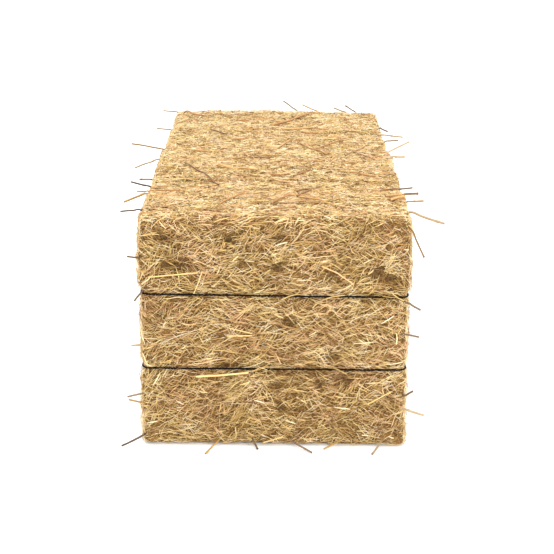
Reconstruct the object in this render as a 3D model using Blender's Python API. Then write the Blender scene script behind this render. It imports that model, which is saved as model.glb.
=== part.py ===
"""A small square bale of straw, held by two loops of black twine.

The bale is a row of pressed flakes, front to back, with stray stalks sticking
out of its edges. It stands on z = 0 with the origin under its middle. X runs
across it and Y along it, and the end at -Y is the front.
"""

import math
import random
from typing import NamedTuple

import bmesh
import bpy
from mathutils import Vector, noise

MM = 0.001

# Driving dimensions of the bale
WIDTH = 460 * MM
HEIGHT = 410 * MM
FLAKE_COUNT = 11
FLAKE_PITCH = 88 * MM
LENGTH = FLAKE_COUNT * FLAKE_PITCH
SEAM_GAP = 0.4 * MM

# Rounded edges: along the bale, round its two ends, and at the seams
LONG_ROUND = 8 * MM
END_ROUND = 12 * MM
SEAM_ROUND = 6 * MM

# The twines: their heights, thickness, the groove that they press in the
# straw, and how much lower each one runs at +X, per metre of width
TWINE_HEIGHTS = (142 * MM, 274 * MM)
TWINE_TILTS = (0.005, 0.008)
TWINE_RADIUS = 1.4 * MM
TWINE_CLEARANCE = 0.6 * MM
GROOVE_DEPTH = 6 * MM
GROOVE_FLOOR = 2.5 * MM
GROOVE_REACH = 14 * MM

# How the straw swells between the twines: lower, middle and upper band
SIDE_SWELLS = (0.5 * MM, -1 * MM, 3 * MM)
END_SWELLS = (3 * MM, 4 * MM, 5 * MM)
TOP_CROWN = 3 * MM
FLAKE_VARIATION = 2.5 * MM
LUMP_HEIGHT = 3 * MM
LUMP_LENGTH = 85 * MM

# Where each flake is cut into cells, so that it can be pressed into shape
CELLS_ACROSS = 5
BAND_MIDDLES = (66 * MM, 208 * MM, 335 * MM)

# The knot of each twine, on the side at +X, and its two cut ends
KNOT_PLACES = (-170 * MM, -150 * MM)
KNOT_SIZE = Vector((3.4, 5.5, 3.8)) * MM
TAIL_LENGTH = 36 * MM
TAIL_STEPS = 4

# Stray stalks
STALK_RADIUS = 1.3 * MM
STALK_STEPS = 3
STALK_CLEARANCE = 0.6 * MM
FLOOR_CLEARANCE = 0.5 * MM
SEED = 11

STRAW_COLOUR = (0.49, 0.31, 0.14)
STALK_COLOUR = (0.62, 0.42, 0.19)
TWINE_COLOUR = (0.009, 0.009, 0.010)


class Stray(NamedTuple):
    """A stalk by its place along an edge, its directions and its length.

    Swing is measured from straight out, towards the edge's own side
    direction, and rise upwards. A thick stalk has its radius in millimetres.
    """

    place: float
    swing: float
    rise: float
    length: float
    radius: float = STALK_RADIUS / MM


class Edge(NamedTuple):
    """An edge that stalks come out of, with the directions measured from it."""

    start: Vector
    run: Vector
    out: Vector
    side: Vector
    normal: Vector


RIGHT = Vector((1, 0, 0))
LEFT = Vector((-1, 0, 0))
BACK = Vector((0, 1, 0))
FRONT = Vector((0, -1, 0))
UP = Vector((0, 0, 1))

LONG_INSET = LONG_ROUND * (1 - math.cos(math.pi / 4))
END_INSET = END_ROUND * (1 - math.cos(math.pi / 4))
FOOT_HEIGHT = 11 * MM


def corner(x, y, z, inset):
    """A corner of the plain bale, moved in to the middle of its rounded edge."""
    half = Vector((WIDTH / 2 - inset, LENGTH / 2 - inset, 0))
    height = HEIGHT - inset if z else 0
    return Vector((x * half.x, y * half.y, height))


EDGES = {
    "top left": Edge(corner(-1, -1, 1, LONG_INSET), BACK, LEFT, BACK, (LEFT + UP).normalized()),
    "top right": Edge(corner(1, -1, 1, LONG_INSET), BACK, RIGHT, BACK, (RIGHT + UP).normalized()),
    "top back": Edge(corner(-1, 1, 1, END_INSET), RIGHT, BACK, RIGHT, (BACK + UP).normalized()),
    "front left": Edge(corner(-1, -1, 0, END_INSET), UP, LEFT, FRONT, (LEFT + FRONT).normalized()),
    "front right": Edge(corner(1, -1, 0, END_INSET), UP, RIGHT, FRONT, (RIGHT + FRONT).normalized()),
    "back left": Edge(corner(-1, 1, 0, END_INSET), UP, LEFT, BACK, (LEFT + BACK).normalized()),
    "back right": Edge(corner(1, 1, 0, END_INSET), UP, RIGHT, BACK, (RIGHT + BACK).normalized()),
    "front foot": Edge(corner(-1, -1, 0, 0) + UP * FOOT_HEIGHT, RIGHT, FRONT, RIGHT, FRONT),
    "back foot": Edge(corner(-1, 1, 0, 0) + UP * FOOT_HEIGHT, RIGHT, BACK, RIGHT, BACK),
}

# Places in millimetres along each edge, angles in degrees, lengths in millimetres
STRAYS = {
    "top left": (
        Stray(960, 10, 3, 33),
        Stray(743, 10, 4, 33),
        Stray(553, 25, 4, 76),
        Stray(429, -40, -8, 56),
        Stray(275, 5, 2, 24),
        Stray(228, 20, 8, 40),
        Stray(194, -14, 1, 22),
        Stray(157, -35, -8, 46, 1.6),
        Stray(55, -18, -2, 34),
    ),
    "top right": (
        Stray(771, -40, -12, 22),
        Stray(703, -18, -1, 48),
        Stray(632, 10, 8, 28),
        Stray(521, 30, 18, 52),
        Stray(464, 0, 2, 26, 1.5),
        Stray(224, 15, 4, 25),
        Stray(157, 10, 3, 24, 1.7),
        Stray(109, 6, 3, 30),
        Stray(49, -35, -10, 64, 1.8),
    ),
    "top back": (
        Stray(277, -70, 31, 42),
        Stray(324, -70, 18, 41),
        Stray(389, -65, 15, 31),
        Stray(412, -60, 28, 31),
    ),
    "front left": (
        Stray(339, 10, 8, 15),
        Stray(278, 12, -48, 22),
        Stray(184, 15, 2, 16),
        Stray(95, 12, -8, 23),
        Stray(80, 20, 18, 22),
        Stray(18, 28, -20, 42, 1.5),
    ),
    "front right": (
        Stray(392, 35, -60, 50),
        Stray(264, 12, -28, 24),
        Stray(208, 10, -7, 20),
        Stray(96, 15, 35, 16),
        Stray(70, 20, -13, 34, 1.5),
    ),
    "front foot": (
        Stray(134, -32, -12, 42),
        Stray(194, 29, -22, 20),
        Stray(262, 47, -12, 45),
        Stray(343, -57, -14, 32),
        Stray(416, -29, -13, 38, 1.5),
    ),
    "back left": (
        Stray(300, 25, 5, 30),
        Stray(110, 35, -12, 26),
    ),
    "back right": (
        Stray(330, 30, -20, 34),
        Stray(190, 20, 12, 22),
    ),
    "back foot": (
        Stray(150, 30, -14, 36),
        Stray(330, -25, -15, 30),
    ),
}


def flake_of(y):
    """The number of the flake, from 0 at the front, that a place along the bale is on."""
    return min(max(int((y + LENGTH / 2) / FLAKE_PITCH), 0), FLAKE_COUNT - 1)


def held(z):
    """How fully the straw is held in by a twine at this height, from 0 to 1."""
    distance = min(abs(z - height) for height in TWINE_HEIGHTS)
    return min(max((GROOVE_REACH - distance) / (GROOVE_REACH - GROOVE_FLOOR), 0), 1)


def band_of(z):
    """The number of the band between the twines, from 0 at the base."""
    return sum(z > height for height in TWINE_HEIGHTS)


def fullness(z):
    """How far a height is into its band: 0 at a twine, the base or the top, 1 in the middle."""
    limits = (0, *TWINE_HEIGHTS, HEIGHT)
    band = band_of(z)
    share = (z - limits[band]) / (limits[band + 1] - limits[band])
    return math.sin(math.pi * min(max(share, 0), 1))


def tilt(z):
    """How far a height drops for each metre towards +X, following the twines."""
    heights = (0, *TWINE_HEIGHTS, HEIGHT)
    tilts = (0, *TWINE_TILTS, 0)
    band = band_of(z)
    share = (z - heights[band]) / (heights[band + 1] - heights[band])
    return tilts[band] + share * (tilts[band + 1] - tilts[band])


def lump(point, flake):
    """The height of the straw's uneven lumps at a point, different on each flake."""
    return LUMP_HEIGHT * noise.noise(point / LUMP_LENGTH + Vector((9.1, 3.7, 5.3)) * flake)


def flake_swell(flake, direction):
    """How much fuller than the others one flake is in a direction."""
    chance = random.Random(SEED + 10 * flake + direction)
    return chance.uniform(-FLAKE_VARIATION, FLAKE_VARIATION)


def press(point, flake):
    """Move a point of the plain bale to where the pressed and tied straw has it."""
    x, y, z = point
    free = 1 - held(z)
    groove = GROOVE_DEPTH * held(z)
    band = band_of(z)
    side = free * (SIDE_SWELLS[band] * fullness(z) + flake_swell(flake, 0) + lump(point, flake))
    end = free * (END_SWELLS[band] * fullness(z) * math.cos(math.pi * x / WIDTH) + lump(point, flake))
    crown = TOP_CROWN * math.cos(math.pi * x / WIDTH) + flake_swell(flake, 1) + lump(point, flake)
    inner = LENGTH / 2 - FLAKE_PITCH
    towards_end = min(max((abs(y) - inner) / FLAKE_PITCH, 0), 1)
    new_x = x * (1 + (side - groove) / (WIDTH / 2))
    new_y = y + math.copysign(1, y) * towards_end * (end - groove)
    new_z = z + crown * z / HEIGHT * free - x * tilt(z)
    return Vector((new_x, new_y, new_z))


def material(name, colour, roughness):
    """A plain material of one colour."""
    made = bpy.data.materials.new(name)
    made.use_nodes = True
    shader = made.node_tree.nodes["Principled BSDF"]
    shader.inputs["Base Color"].default_value = (*colour, 1)
    shader.inputs["Roughness"].default_value = roughness
    return made


def add_object(name, data, collection, finish):
    """Put an object with its material in a collection."""
    made = bpy.data.objects.new(name, data)
    data.materials.append(finish)
    collection.objects.link(made)
    return made


def bevel_edges(mesh, edges, width, segments):
    """Round some edges of a mesh."""
    bmesh.ops.bevel(
        mesh, geom=edges, offset=width, offset_type="OFFSET", segments=segments, profile=0.5, affect="EDGES"
    )


def edges_at_y(mesh, y):
    """The edges that lie in one plane across the bale."""
    return [e for e in mesh.edges if all(abs(v.co.y - y) < 0.01 * MM for v in e.verts)]


def cut_cells(mesh, axis, places):
    """Cut a mesh by planes square to an axis."""
    for place in places:
        normal = Vector((0, 0, 0))
        normal[axis] = 1
        everything = mesh.verts[:] + mesh.edges[:] + mesh.faces[:]
        bmesh.ops.bisect_plane(mesh, geom=everything, plane_co=normal * place, plane_no=normal)


def join_flat_faces(mesh, normal):
    """Make one face of all the faces that look one way."""
    faces = [f for f in mesh.faces if f.normal.dot(normal) > 0.9999]
    bmesh.ops.dissolve_faces(mesh, faces=faces)


def cell_heights():
    """The heights at which a flake is cut: its bands' middles and each groove's four lines."""
    heights = list(BAND_MIDDLES)
    for height in TWINE_HEIGHTS:
        for reach in (GROOVE_FLOOR, GROOVE_REACH):
            heights += [height - reach, height + reach]
    return heights


def flake_mesh(flake):
    """One flake: a box with rounded edges, cut into cells and pressed into shape."""
    near = -LENGTH / 2 + flake * FLAKE_PITCH + (SEAM_GAP / 2 if flake else 0)
    far = -LENGTH / 2 + (flake + 1) * FLAKE_PITCH - (SEAM_GAP / 2 if flake < FLAKE_COUNT - 1 else 0)
    mesh = bmesh.new()
    bmesh.ops.create_cube(mesh, size=1)
    bmesh.ops.scale(mesh, vec=(WIDTH, far - near, HEIGHT), verts=mesh.verts)
    bmesh.ops.translate(mesh, vec=(0, (near + far) / 2, HEIGHT / 2), verts=mesh.verts)
    across = edges_at_y(mesh, near) + edges_at_y(mesh, far)
    bevel_edges(mesh, [e for e in mesh.edges if e not in across], LONG_ROUND, 2)
    for y, is_end in ((near, flake == 0), (far, flake == FLAKE_COUNT - 1)):
        width = END_ROUND if is_end else SEAM_ROUND
        bevel_edges(mesh, edges_at_y(mesh, y), width, 2)
    cut_cells(mesh, 0, [WIDTH * (cell / CELLS_ACROSS - 0.5) for cell in range(1, CELLS_ACROSS)])
    cut_cells(mesh, 1, [(near + far) / 2])
    cut_cells(mesh, 2, cell_heights())
    mesh.normal_update()
    join_flat_faces(mesh, -UP)
    if flake > 0:
        join_flat_faces(mesh, FRONT)
    if flake < FLAKE_COUNT - 1:
        join_flat_faces(mesh, BACK)
    for vertex in mesh.verts:
        vertex.co = press(vertex.co, flake)
    return mesh


def add_flakes(collection, finish):
    """The pressed flakes, from the front to the back."""
    for flake in range(FLAKE_COUNT):
        name = f"flake_{flake + 1:02d}"
        mesh = flake_mesh(flake)
        data = bpy.data.meshes.new(name)
        mesh.to_mesh(data)
        mesh.free()
        add_object(name, data, collection, finish)


def tube_object(name, points, radii, collection, finish, closed=False, sides=2):
    """A tube along a line of points, with a radius at each point."""
    curve = bpy.data.curves.new(name, "CURVE")
    curve.dimensions = "3D"
    curve.bevel_depth = 1
    curve.bevel_resolution = sides
    curve.use_fill_caps = True
    spline = curve.splines.new("POLY")
    spline.points.add(len(points) - 1)
    for place, point, radius in zip(spline.points, points, radii):
        place.co = (*point, 1)
        place.radius = radius
    spline.use_cyclic_u = closed
    return add_object(name, curve, collection, finish)


def as_mesh(tube):
    """Turn a tube into a mesh object of the same name and place, with its caps joined on."""
    name = tube.name
    graph = bpy.context.evaluated_depsgraph_get()
    data = bpy.data.meshes.new_from_object(tube.evaluated_get(graph))
    mesh = bmesh.new()
    mesh.from_mesh(data)
    bmesh.ops.remove_doubles(mesh, verts=mesh.verts, dist=0.01 * MM)
    mesh.to_mesh(data)
    mesh.free()
    collection = tube.users_collection[0]
    made = bpy.data.objects.new(name, data)
    made.matrix_world = tube.matrix_world
    bpy.data.objects.remove(tube)
    made.name = name
    collection.objects.link(made)
    return made


def twine_route(height):
    """The closed line of a twine's middle, held off the straw by a small clearance."""
    offset = TWINE_RADIUS + TWINE_CLEARANCE
    steps = 6
    points = []
    for quarter in range(4):
        corner_x = (1, -1, -1, 1)[quarter] * (WIDTH / 2 - END_ROUND)
        corner_y = (1, 1, -1, -1)[quarter] * (LENGTH / 2 - END_ROUND)
        for step in range(steps + 1):
            angle = math.pi / 2 * (quarter + step / steps)
            out = Vector((math.cos(angle), math.sin(angle), 0))
            base = Vector((corner_x, corner_y, height)) + END_ROUND * out
            points.append(press(base, flake_of(base.y)) + offset * out)
    return points


def knot_mesh(name):
    """The lump of a knot, slightly flat against the straw."""
    mesh = bmesh.new()
    bmesh.ops.create_uvsphere(mesh, u_segments=10, v_segments=6, radius=1)
    bmesh.ops.scale(mesh, vec=KNOT_SIZE, verts=mesh.verts)
    data = bpy.data.meshes.new(name)
    mesh.to_mesh(data)
    mesh.free()
    return data


def tail_route(start, upward):
    """The line of a cut end, which leaves the knot towards the front and curves out."""
    points = []
    for step in range(TAIL_STEPS + 1):
        share = step / TAIL_STEPS
        away = Vector((0.30 * share, -1 if upward > 0 else 1, 0.22 * upward * share))
        points.append(start + away * TAIL_LENGTH * share + RIGHT * 6 * MM * share)
    return points


def hide_tool(tool):
    """Mark an object as one that only shapes another."""
    tool.hide_render = True
    tool.display_type = "WIRE"


def unite(target, tool):
    """Join a tool's shape to an object."""
    modifier = target.modifiers.new(f"join {tool.name}", "BOOLEAN")
    modifier.operation = "UNION"
    modifier.solver = "EXACT"
    modifier.object = tool
    hide_tool(tool)


def add_twines(collection, tools, finish):
    """The two loops of twine, each with a knot and two cut ends on the side at +X."""
    for label, height, knot_y in zip(("lower", "upper"), TWINE_HEIGHTS, KNOT_PLACES):
        name = f"twine_{label}"
        route = twine_route(height)
        loop = as_mesh(tube_object(name, route, [TWINE_RADIUS] * len(route), collection, finish, closed=True))
        surface = press(Vector((WIDTH / 2, knot_y, height)), flake_of(knot_y))
        middle = surface + RIGHT * (KNOT_SIZE.x + TWINE_CLEARANCE)
        knot = add_object(f"{name}_knot", knot_mesh(f"{name}_knot"), tools, finish)
        knot.location = middle
        unite(loop, knot)
        for tail_label, upward in (("first", 1), ("second", -1)):
            points = tail_route(middle, upward)
            radii = [TWINE_RADIUS * 0.95] * len(points)
            tail = as_mesh(tube_object(f"{name}_{tail_label}_end", points, radii, tools, finish))
            unite(loop, tail)


def stalk_route(edge, stray, chance):
    """The line of a stray stalk: it leaves its edge and bends a little on the way."""
    base = edge.start + edge.run * stray.place * MM
    flake = flake_of(base.y)
    radius = stray.radius * MM
    point = press(base, flake) + edge.normal * (radius + STALK_CLEARANCE)
    swing = math.radians(stray.swing)
    rise = math.radians(stray.rise)
    points = [point]
    for _ in range(STALK_STEPS):
        flat = edge.out * math.cos(swing) + edge.side * math.sin(swing)
        direction = flat * math.cos(rise) + UP * math.sin(rise)
        point = point + direction * stray.length * MM / STALK_STEPS
        point.z = max(point.z, radius + FLOOR_CLEARANCE)
        points.append(point)
        swing += math.radians(chance.uniform(-5, 5))
        rise += math.radians(chance.uniform(-4, 3))
    return points


def add_stray_stalks(collection, finish):
    """The single stalks that stick out of the bale's edges and foot."""
    chance = random.Random(SEED)
    number = 0
    for edge_name, strays in STRAYS.items():
        for stray in strays:
            number += 1
            points = stalk_route(EDGES[edge_name], stray, chance)
            shares = [step / STALK_STEPS for step in range(STALK_STEPS + 1)]
            radii = [stray.radius * MM * (1 - 0.25 * share) for share in shares]
            tube_object(f"stray_stalk_{number:02d}", points, radii, collection, finish, sides=1)


def add_collection(name):
    """A new collection in the scene."""
    made = bpy.data.collections.new(name)
    bpy.context.scene.collection.children.link(made)
    return made


def main():
    """Clear the scene and build the bale."""
    for old in list(bpy.data.objects):
        bpy.data.objects.remove(old)
    bale = add_collection("square_straw_bale")
    tools = add_collection("shaping_tools")
    straw = material("pressed straw", STRAW_COLOUR, 0.85)
    stalk = material("loose straw stalk", STALK_COLOUR, 0.6)
    twine = material("black polypropylene twine", TWINE_COLOUR, 0.45)
    add_flakes(bale, straw)
    add_twines(bale, tools, twine)
    add_stray_stalks(bale, stalk)


main()
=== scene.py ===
"""The looks of a small square straw bale on a pale studio floor.

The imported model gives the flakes, the two twines and the stray stalks. This
script covers each flake with matted straw, lays the single stalks that show,
twists the twines and lights the bale as the photograph does.
"""

import logging
import math
import random
from dataclasses import dataclass, field
from enum import Enum

import bmesh
import bpy
import numpy as np
from bmesh.types import BMesh, BMFace
from bpy.types import Material, Mesh, Node, NodeSocket, NodeTree, Object
from mathutils import Matrix, Vector, noise
from mathutils.bvhtree import BVHTree


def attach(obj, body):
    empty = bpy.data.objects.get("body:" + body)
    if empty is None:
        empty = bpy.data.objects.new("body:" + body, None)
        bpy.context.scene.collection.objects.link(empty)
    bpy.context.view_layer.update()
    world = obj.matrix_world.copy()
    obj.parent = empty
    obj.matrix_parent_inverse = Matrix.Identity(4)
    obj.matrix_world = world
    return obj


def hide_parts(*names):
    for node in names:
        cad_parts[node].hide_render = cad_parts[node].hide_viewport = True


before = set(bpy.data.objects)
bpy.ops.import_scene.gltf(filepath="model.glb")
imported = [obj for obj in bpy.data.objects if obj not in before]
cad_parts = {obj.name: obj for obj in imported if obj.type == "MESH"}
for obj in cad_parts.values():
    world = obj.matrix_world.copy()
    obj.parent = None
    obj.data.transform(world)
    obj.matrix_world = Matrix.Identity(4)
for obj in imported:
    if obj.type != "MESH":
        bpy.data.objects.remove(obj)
log = logging.getLogger("straw_bale")

MM = 0.001

# The bale's driving sizes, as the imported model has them
HEIGHT = 410 * MM
FLAKE_PITCH = 88 * MM
FLAKE_COUNT = 11
LENGTH = FLAKE_COUNT * FLAKE_PITCH

# The surface that the stalks follow: how far the flakes' edges round off at a seam, how much of
# that is filled, how squarely a face between two flakes looks along the bale, and how far off that
# way a vertex has to look to be moved
SEAM_ROUND = 6 * MM
SEAM_FILL = 0.8
INNER_FACING = 0.9
LEAST_OUTWARD = 0.05

# The bake's map: stalks keep the left of it and the matted straw the rest, and each stalk is a
# narrow strip up nearly all of it
BAKE_MAP = "OFBake"
STALK_SHARE = 0.62
MAT_START = 0.64
MAP_MARGIN = 0.004
STALK_ON_MAP = 0.003
ALONG_START = 0.02
ALONG_SHARE = 0.96

# Blender's names for the two kinds of node that work things out
MATH = "ShaderNodeMath"
VECTORS = "ShaderNodeVectorMath"


def linear(colour: str) -> tuple[float, float, float, float]:
    """Turn an sRGB hex colour into linear light.

    Args:
        colour: Six hex digits, such as "E3C48B".

    Returns:
        Red, green, blue and an alpha of 1.
    """
    parts = [int(colour[i : i + 2], 16) / 255 for i in (0, 2, 4)]
    light = [c / 12.92 if c <= 0.04045 else ((c + 0.055) / 1.055) ** 2.4 for c in parts]
    return (*light, 1.0)


def add_node(tree: NodeTree, kind: str, settings: dict | None = None, **inputs: object) -> Node:
    """Add a node with its settings, and fill or link its inputs.

    Args:
        tree: The tree that the node joins.
        kind: The node's type.
        settings: The node's own properties, with its inputs by number under "at" and a colour
            ramp's places and sRGB hex colours under "stops".
        **inputs: Inputs by name, with an underscore for each space, as a value or a socket.

    Returns:
        The new node.
    """
    node = tree.nodes.new(kind)
    settings = dict(settings or {})
    numbered = settings.pop("at", {})
    stops = settings.pop("stops", ())
    for name, value in settings.items():
        setattr(node, name, value)
    while stops and len(node.color_ramp.elements) < len(stops):
        node.color_ramp.elements.new(1.0)
    for number, (position, colour) in enumerate(stops):
        node.color_ramp.elements[number].position = position
        node.color_ramp.elements[number].color = linear(colour)
    named = {name.replace("_", " "): value for name, value in inputs.items()}
    for key, value in {**named, **numbered}.items():
        socket = node.inputs[key]
        if isinstance(value, NodeSocket):
            tree.links.new(value, socket)
        else:
            socket.default_value = value
    return node


class Tone(Enum):
    """The colours that straw dries to, each with its start and width on the stalks' ramp."""

    GOLDEN = (0.0, 0.38)
    REDDISH = (0.41, 0.38)
    RUSTY = (0.82, 0.07)
    GREYED = (0.91, 0.08)

    def across(self, shade: float) -> float:
        """Where a shade from 0 (dark) to 1 (pale) is across the bake's map."""
        start, width = self.value
        return STALK_SHARE * (start + width * shade)


class Region(Enum):
    """The parts of a flake's skin, by the way that they face."""

    FRONT = "front end"
    BACK = "back end"
    TOP = "top"
    SIDE = "long side"
    FOOT = "underside"
    SEAM = "between two flakes"


@dataclass(frozen=True)
class Twist:
    """The twines' sizes and their places on the bale."""

    heights: tuple[float, float] = (142 * MM, 274 * MM)
    tilts: tuple[float, float] = (0.005, 0.008)
    radius: float = 1.5 * MM
    half_width: float = 226 * MM
    half_length: float = 480 * MM
    corner: float = 13.7 * MM
    lay: float = 17 * MM


@dataclass(frozen=True)
class StrawLayer:
    """One kind of stalk in the mat, with its number to a square metre and its sizes."""

    name: str
    density: float
    length: tuple[float, float]
    radius: tuple[float, float]
    height: tuple[float, float]
    arch: tuple[float, float] = (0.0, 0.0)
    lean: float = 0.0
    wave: float = 5 * MM
    rise: float = 8.0
    spread: float = 40.0
    jitter: float = 30.0
    swirl: float = 55 * MM
    flatness: float = 0.8
    shade: tuple[float, float] = (0.3, 0.7)
    rust: float = 0.02
    steps: int = 3
    cover: dict[Region, float] = field(default_factory=dict)

    def values(self) -> dict[str, float]:
        """The tree's inputs for this layer, by name."""
        return {
            "Density": self.density,
            "Shortest": self.length[0],
            "Longest": self.length[1],
            "Thinnest": self.radius[0],
            "Thickest": self.radius[1],
            "Lowest": self.height[0],
            "Highest": self.height[1],
            "Least Arch": self.arch[0],
            "Most Arch": self.arch[1],
            "Lean": self.lean,
            "Wave": self.wave,
            "Rise": math.radians(self.rise),
            "Spread": math.radians(self.spread),
            "Jitter": math.radians(self.jitter),
            "Swirl": self.swirl,
            "Flatness": self.flatness,
            "Darkest": self.shade[0],
            "Palest": self.shade[1],
            "Rust": self.rust,
        }


MAT_COVER = {Region.FRONT: 1.35, Region.BACK: 0.65, Region.TOP: 1.3, Region.SIDE: 0.8, Region.FOOT: 0.1}

LAYERS = (
    # The deep tangle lies under the others; its lower palest shade is painted shade from the layers above it
    StrawLayer(
        name="deep tangle", density=10500, length=(12 * MM, 34 * MM), radius=(0.7 * MM, 1.05 * MM),
        height=(-4 * MM, -1.2 * MM), arch=(-1 * MM, 2 * MM), lean=2 * MM, wave=5 * MM, jitter=50,
        shade=(0.14, 0.76), cover=MAT_COVER,
    ),
    StrawLayer(
        name="upper tangle", density=11800, length=(10 * MM, 28 * MM), radius=(0.34 * MM, 0.6 * MM),
        height=(-2 * MM, 1.2 * MM), arch=(-3 * MM, 3 * MM), lean=3 * MM, wave=5 * MM, jitter=62,
        shade=(0.2, 0.94), cover=MAT_COVER,
    ),
    StrawLayer(
        name="short fibres", density=18500, length=(5 * MM, 16 * MM), radius=(0.33 * MM, 0.58 * MM),
        height=(-1.6 * MM, 1.2 * MM), lean=3 * MM, wave=0.0, jitter=68, shade=(0.14, 0.96), steps=2,
        cover=MAT_COVER,
    ),
    StrawLayer(
        name="broad blades", density=450, length=(10 * MM, 24 * MM), radius=(1.1 * MM, 1.6 * MM),
        height=(-1.5 * MM, 0.8 * MM), arch=(-1 * MM, 2 * MM), lean=2 * MM, wave=4 * MM, jitter=60,
        flatness=0.25, shade=(0.3, 0.9), rust=0.06, cover=MAT_COVER,
    ),
    StrawLayer(
        name="long stalks", density=95, length=(35 * MM, 85 * MM), radius=(0.6 * MM, 0.95 * MM),
        height=(-0.4 * MM, 1.2 * MM), arch=(-1 * MM, 1.5 * MM), lean=2 * MM, wave=3 * MM, jitter=40,
        flatness=0.9, shade=(0.4, 0.95), rust=0.2, steps=6, cover=MAT_COVER,
    ),
    StrawLayer(
        name="chaff", density=15800, length=(2.5 * MM, 9 * MM), radius=(0.5 * MM, 0.95 * MM),
        height=(-0.8 * MM, 1.8 * MM), lean=6 * MM, wave=0.0, jitter=90, shade=(0.0, 1.0), rust=0.05, steps=2,
        cover={Region.TOP: 1.0, Region.FRONT: 0.1},
    ),
    StrawLayer(
        name="dark specks", density=2500, length=(4 * MM, 11 * MM), radius=(0.8 * MM, 1.3 * MM),
        height=(0.6 * MM, 2.0 * MM), lean=2 * MM, wave=0.0, jitter=60, shade=(-0.25, 0.2), rust=0.35, steps=2,
        cover={Region.TOP: 1.0, Region.FRONT: 0.3, Region.BACK: 0.3, Region.SIDE: 0.4},
    ),
    StrawLayer(
        name="fringe", density=520, length=(10 * MM, 26 * MM), radius=(0.4 * MM, 0.75 * MM),
        height=(0.5 * MM, 3 * MM), lean=13 * MM, wave=3 * MM, jitter=75, shade=(0.0, 0.8), rust=0.1,
        cover={Region.FRONT: 1.0, Region.BACK: 1.0, Region.TOP: 0.8, Region.SIDE: 1.0},
    ),
    StrawLayer(
        name="weathered stalks", density=150, length=(25 * MM, 85 * MM), radius=(0.8 * MM, 1.25 * MM),
        height=(0.8 * MM, 2.2 * MM), arch=(-1 * MM, 2 * MM), lean=2 * MM, wave=4 * MM, spread=25, jitter=32,
        shade=(0.1, 1.0), rust=1.0, steps=6,
        cover={Region.TOP: 1.0, Region.FRONT: 0.35, Region.BACK: 0.4, Region.SIDE: 0.5},
    ),
)


@dataclass(frozen=True)
class LaidStalk:
    """A stalk that lies on the bale: its colour, and its radius and the places that it passes in mm."""

    tone: Tone
    shade: float
    radius: float
    places: tuple[tuple[float, float], ...]


# Places across and up the front end
FRONT_STALKS = (
    LaidStalk(Tone.GOLDEN, 0.47, 1.2, ((-212, 308), (-129, 316))),
    LaidStalk(Tone.GOLDEN, 0.56, 0.9, ((-136, 278), (-128, 298), (-121, 319))),
    LaidStalk(Tone.GOLDEN, 0.53, 1.0, ((-77, 219), (-38, 210))),
    LaidStalk(Tone.GOLDEN, 0.52, 1.2, ((-81, 205), (-38, 206))),
    LaidStalk(Tone.GOLDEN, 0.56, 1.7, ((-134, 130), (-90, 132), (-44, 136))),
    LaidStalk(Tone.GOLDEN, 0.46, 0.6, ((-56, 136), (-25, 142), (-10, 152))),
    LaidStalk(Tone.GOLDEN, 0.47, 1.1, ((161, 81), (201, 104))),
    LaidStalk(Tone.GOLDEN, 0.49, 1.2, ((-19, 7), (16, 20))),
    LaidStalk(Tone.REDDISH, 0.53, 1.2, ((78, 330), (104, 318), (130, 299))),
    LaidStalk(Tone.GOLDEN, 0.72, 0.9, ((-70, 338), (-61, 347))),
    LaidStalk(Tone.GOLDEN, 0.72, 0.8, ((-224, 171), (-216, 150), (-209, 147))),
    LaidStalk(Tone.GOLDEN, 0.46, 0.9, ((10, 268), (24, 274), (40, 279))),
    LaidStalk(Tone.GOLDEN, 0.46, 0.9, ((80, 268), (98, 274), (118, 277))),
    LaidStalk(Tone.GOLDEN, 0.49, 0.8, ((198, 280), (208, 272), (218, 267))),
    LaidStalk(Tone.GOLDEN, 0.42, 0.8, ((-36, 139), (-25, 145), (-10, 148))),
    LaidStalk(Tone.GOLDEN, 0.42, 0.8, ((100, 147), (110, 142), (124, 135))),
    LaidStalk(Tone.RUSTY, 0.1, 1.1, ((-193, 368), (-168, 375), (-144, 374))),
    LaidStalk(Tone.RUSTY, 0.2, 1.0, ((-225, 247), (-166, 257))),
    LaidStalk(Tone.RUSTY, 0.2, 0.9, ((-221, 224), (-186, 232))),
)

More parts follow.
